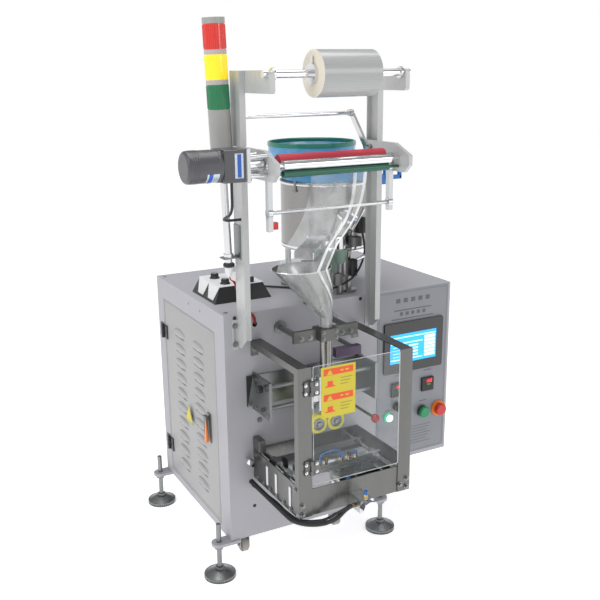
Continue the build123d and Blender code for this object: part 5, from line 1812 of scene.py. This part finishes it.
    def _hose_ribs(self) -> None:
        """Corrugate the conduit that runs to the air cylinder."""
        x, y, z = Datum.left + 0.076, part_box("air_cylinder")[0].y + 0.048, 0.315
        bend = 0.080
        route = [Vector((x, Datum.front - 0.002 - k * 0.01, z)) for k in range(26)]
        corner = Vector((x + bend, y + bend, z))
        route = [point for point in route if point.y > y + bend]
        route += [
            corner + Vector((-bend * math.cos(a), -bend * math.sin(a), 0))
            for a in (math.pi / 2 * k / 12 for k in range(13))
        ]
        self.bench.ribs.run(
            "conduit_ribs", "machine", route, Coat.CORD, True, Radius=0.0066, Thickness=0.0011,
            Step=self.ribs_step
        )


@dataclass
class Studio:
    """The floor, the lights and the camera."""

    place: tuple[float, float, float] = (-0.930, -2.226, 1.570)
    yaw: float = math.radians(27.575)
    pitch: float = math.radians(15.852)
    roll: float = math.radians(-0.729)
    lens: float = 50.72

    def build(self) -> None:
        """Lay the floor, hang the lights and stand the camera."""
        floor = Shape("studio_floor").block(Vector((-12, -12, -0.02)), Vector((12, 12, 0)), Coat.FLOOR)
        mesh = bpy.data.meshes.new("studio_floor")
        floor.bm.to_mesh(mesh)
        floor.bm.free()
        mesh.materials.append(Coat.FLOOR.material())
        ground = bpy.data.objects.new("studio_floor", mesh)
        bpy.context.scene.collection.objects.link(ground)
        world = bpy.data.worlds.new("studio_air")
        world.use_nodes = True
        self._air(world.node_tree)
        bpy.context.scene.world = world
        bpy.context.scene.view_settings.view_transform = "Standard"
        self._lamp("key_light", Vector((-2.8, -0.6, 3.0)), 1.6, 27)
        self._lamp("top_light", Vector((0.1, 0.1, 3.7)), 2.2, 48)
        self._lamp("fill_light", Vector((1.8, -3.4, 2.2)), 1.2, 15)
        self._camera()

    def _air(self, tree: bpy.types.NodeTree) -> None:
        """Make the surroundings white to look at, and brighter above and to the left for what they light.

        Args:
            tree: The world's node tree.
        """
        nodes, links = tree.nodes, tree.links
        nodes["Background"].inputs["Color"].default_value = (1.0, 1.0, 1.0, 1.0)
        place = nodes.new("ShaderNodeTexCoord")
        slope = nodes.new("ShaderNodeVectorMath")
        slope.operation = "DOT_PRODUCT"
        slope.inputs[1].default_value = (-0.45, -0.25, 0.86)
        spread = nodes.new("ShaderNodeMapRange")
        for key, value in (("From Min", -0.25), ("From Max", 0.9), ("To Min", 0.08), ("To Max", 0.60)):
            spread.inputs[key].default_value = value
        parts = nodes.new("ShaderNodeSeparateXYZ")
        band = nodes.new("ShaderNodeMapRange")
        for key, value in (("From Min", 0.10), ("From Max", 0.42), ("To Min", 1.0), ("To Max", 0.0)):
            band.inputs[key].default_value = value
        seen = nodes.new("ShaderNodeMath")
        seen.operation = "MAXIMUM"
        links.new(place.outputs["Generated"], slope.inputs[0])
        links.new(place.outputs["Generated"], parts.inputs[0])
        links.new(slope.outputs["Value"], spread.inputs["Value"])
        links.new(parts.outputs["Z"], band.inputs["Value"])
        links.new(spread.outputs["Result"], seen.inputs[0])
        links.new(band.outputs["Result"], seen.inputs[1])
        links.new(seen.outputs[0], nodes["Background"].inputs["Strength"])

    def _lamp(self, name: str, place: Vector, size: float, power: float) -> None:
        """Hang one square soft light, aimed at the machine's middle.

        Args:
            name: Its name.
            place: Where it hangs.
            size: Its side.
            power: Its power in watts.
        """
        lamp = bpy.data.lights.new(name, "AREA")
        lamp.size = size
        lamp.energy = power
        thing = bpy.data.objects.new(name, lamp)
        thing.location = place
        thing.rotation_euler = (Vector((0, 0, 0.8)) - place).to_track_quat("-Z", "Y").to_euler()
        bpy.context.scene.collection.objects.link(thing)

    def _camera(self) -> None:
        """Stand the camera at the viewing angle, with its small shift and roll."""
        data = bpy.data.cameras.new("camera")
        data.lens = self.lens
        data.sensor_width = 36.0
        data.shift_x = 0.0119
        data.shift_y = 0.0179
        camera = bpy.data.objects.new("camera", data)
        s, c = math.sin(self.yaw), math.cos(self.yaw)
        sp, cp = math.sin(self.pitch), math.cos(self.pitch)
        right, up, ahead = Vector((c, -s, 0)), Vector((s * sp, c * sp, cp)), Vector((s * cp, c * cp, -sp))
        rolled = right * math.cos(self.roll) + up * math.sin(self.roll)
        upright = up * math.cos(self.roll) - right * math.sin(self.roll)
        turn = Matrix((rolled, upright, -ahead)).transposed()
        camera.matrix_world = Matrix.Translation(at(*self.place)) @ turn.to_4x4()
        bpy.context.scene.collection.objects.link(camera)
        bpy.context.scene.camera = camera


def main() -> None:
    """Build every sub-assembly in order."""
    logging.basicConfig(level=logging.INFO, format="%(message)s")
    bench = Bench(Fasteners(), Louvres(), Ribs())
    for part in (
        Cabinet(bench), SideDoor(bench), ControlBox(bench), FilmFrame(bench), Tower(),
        FeederController(bench),
        Hopper(bench), Former(bench), Guard(bench), SealingStation(bench), Studio(),
    ):
        part.build()
        log.info("finished %s", type(part).__name__)


if __name__ == "__main__":
    main()
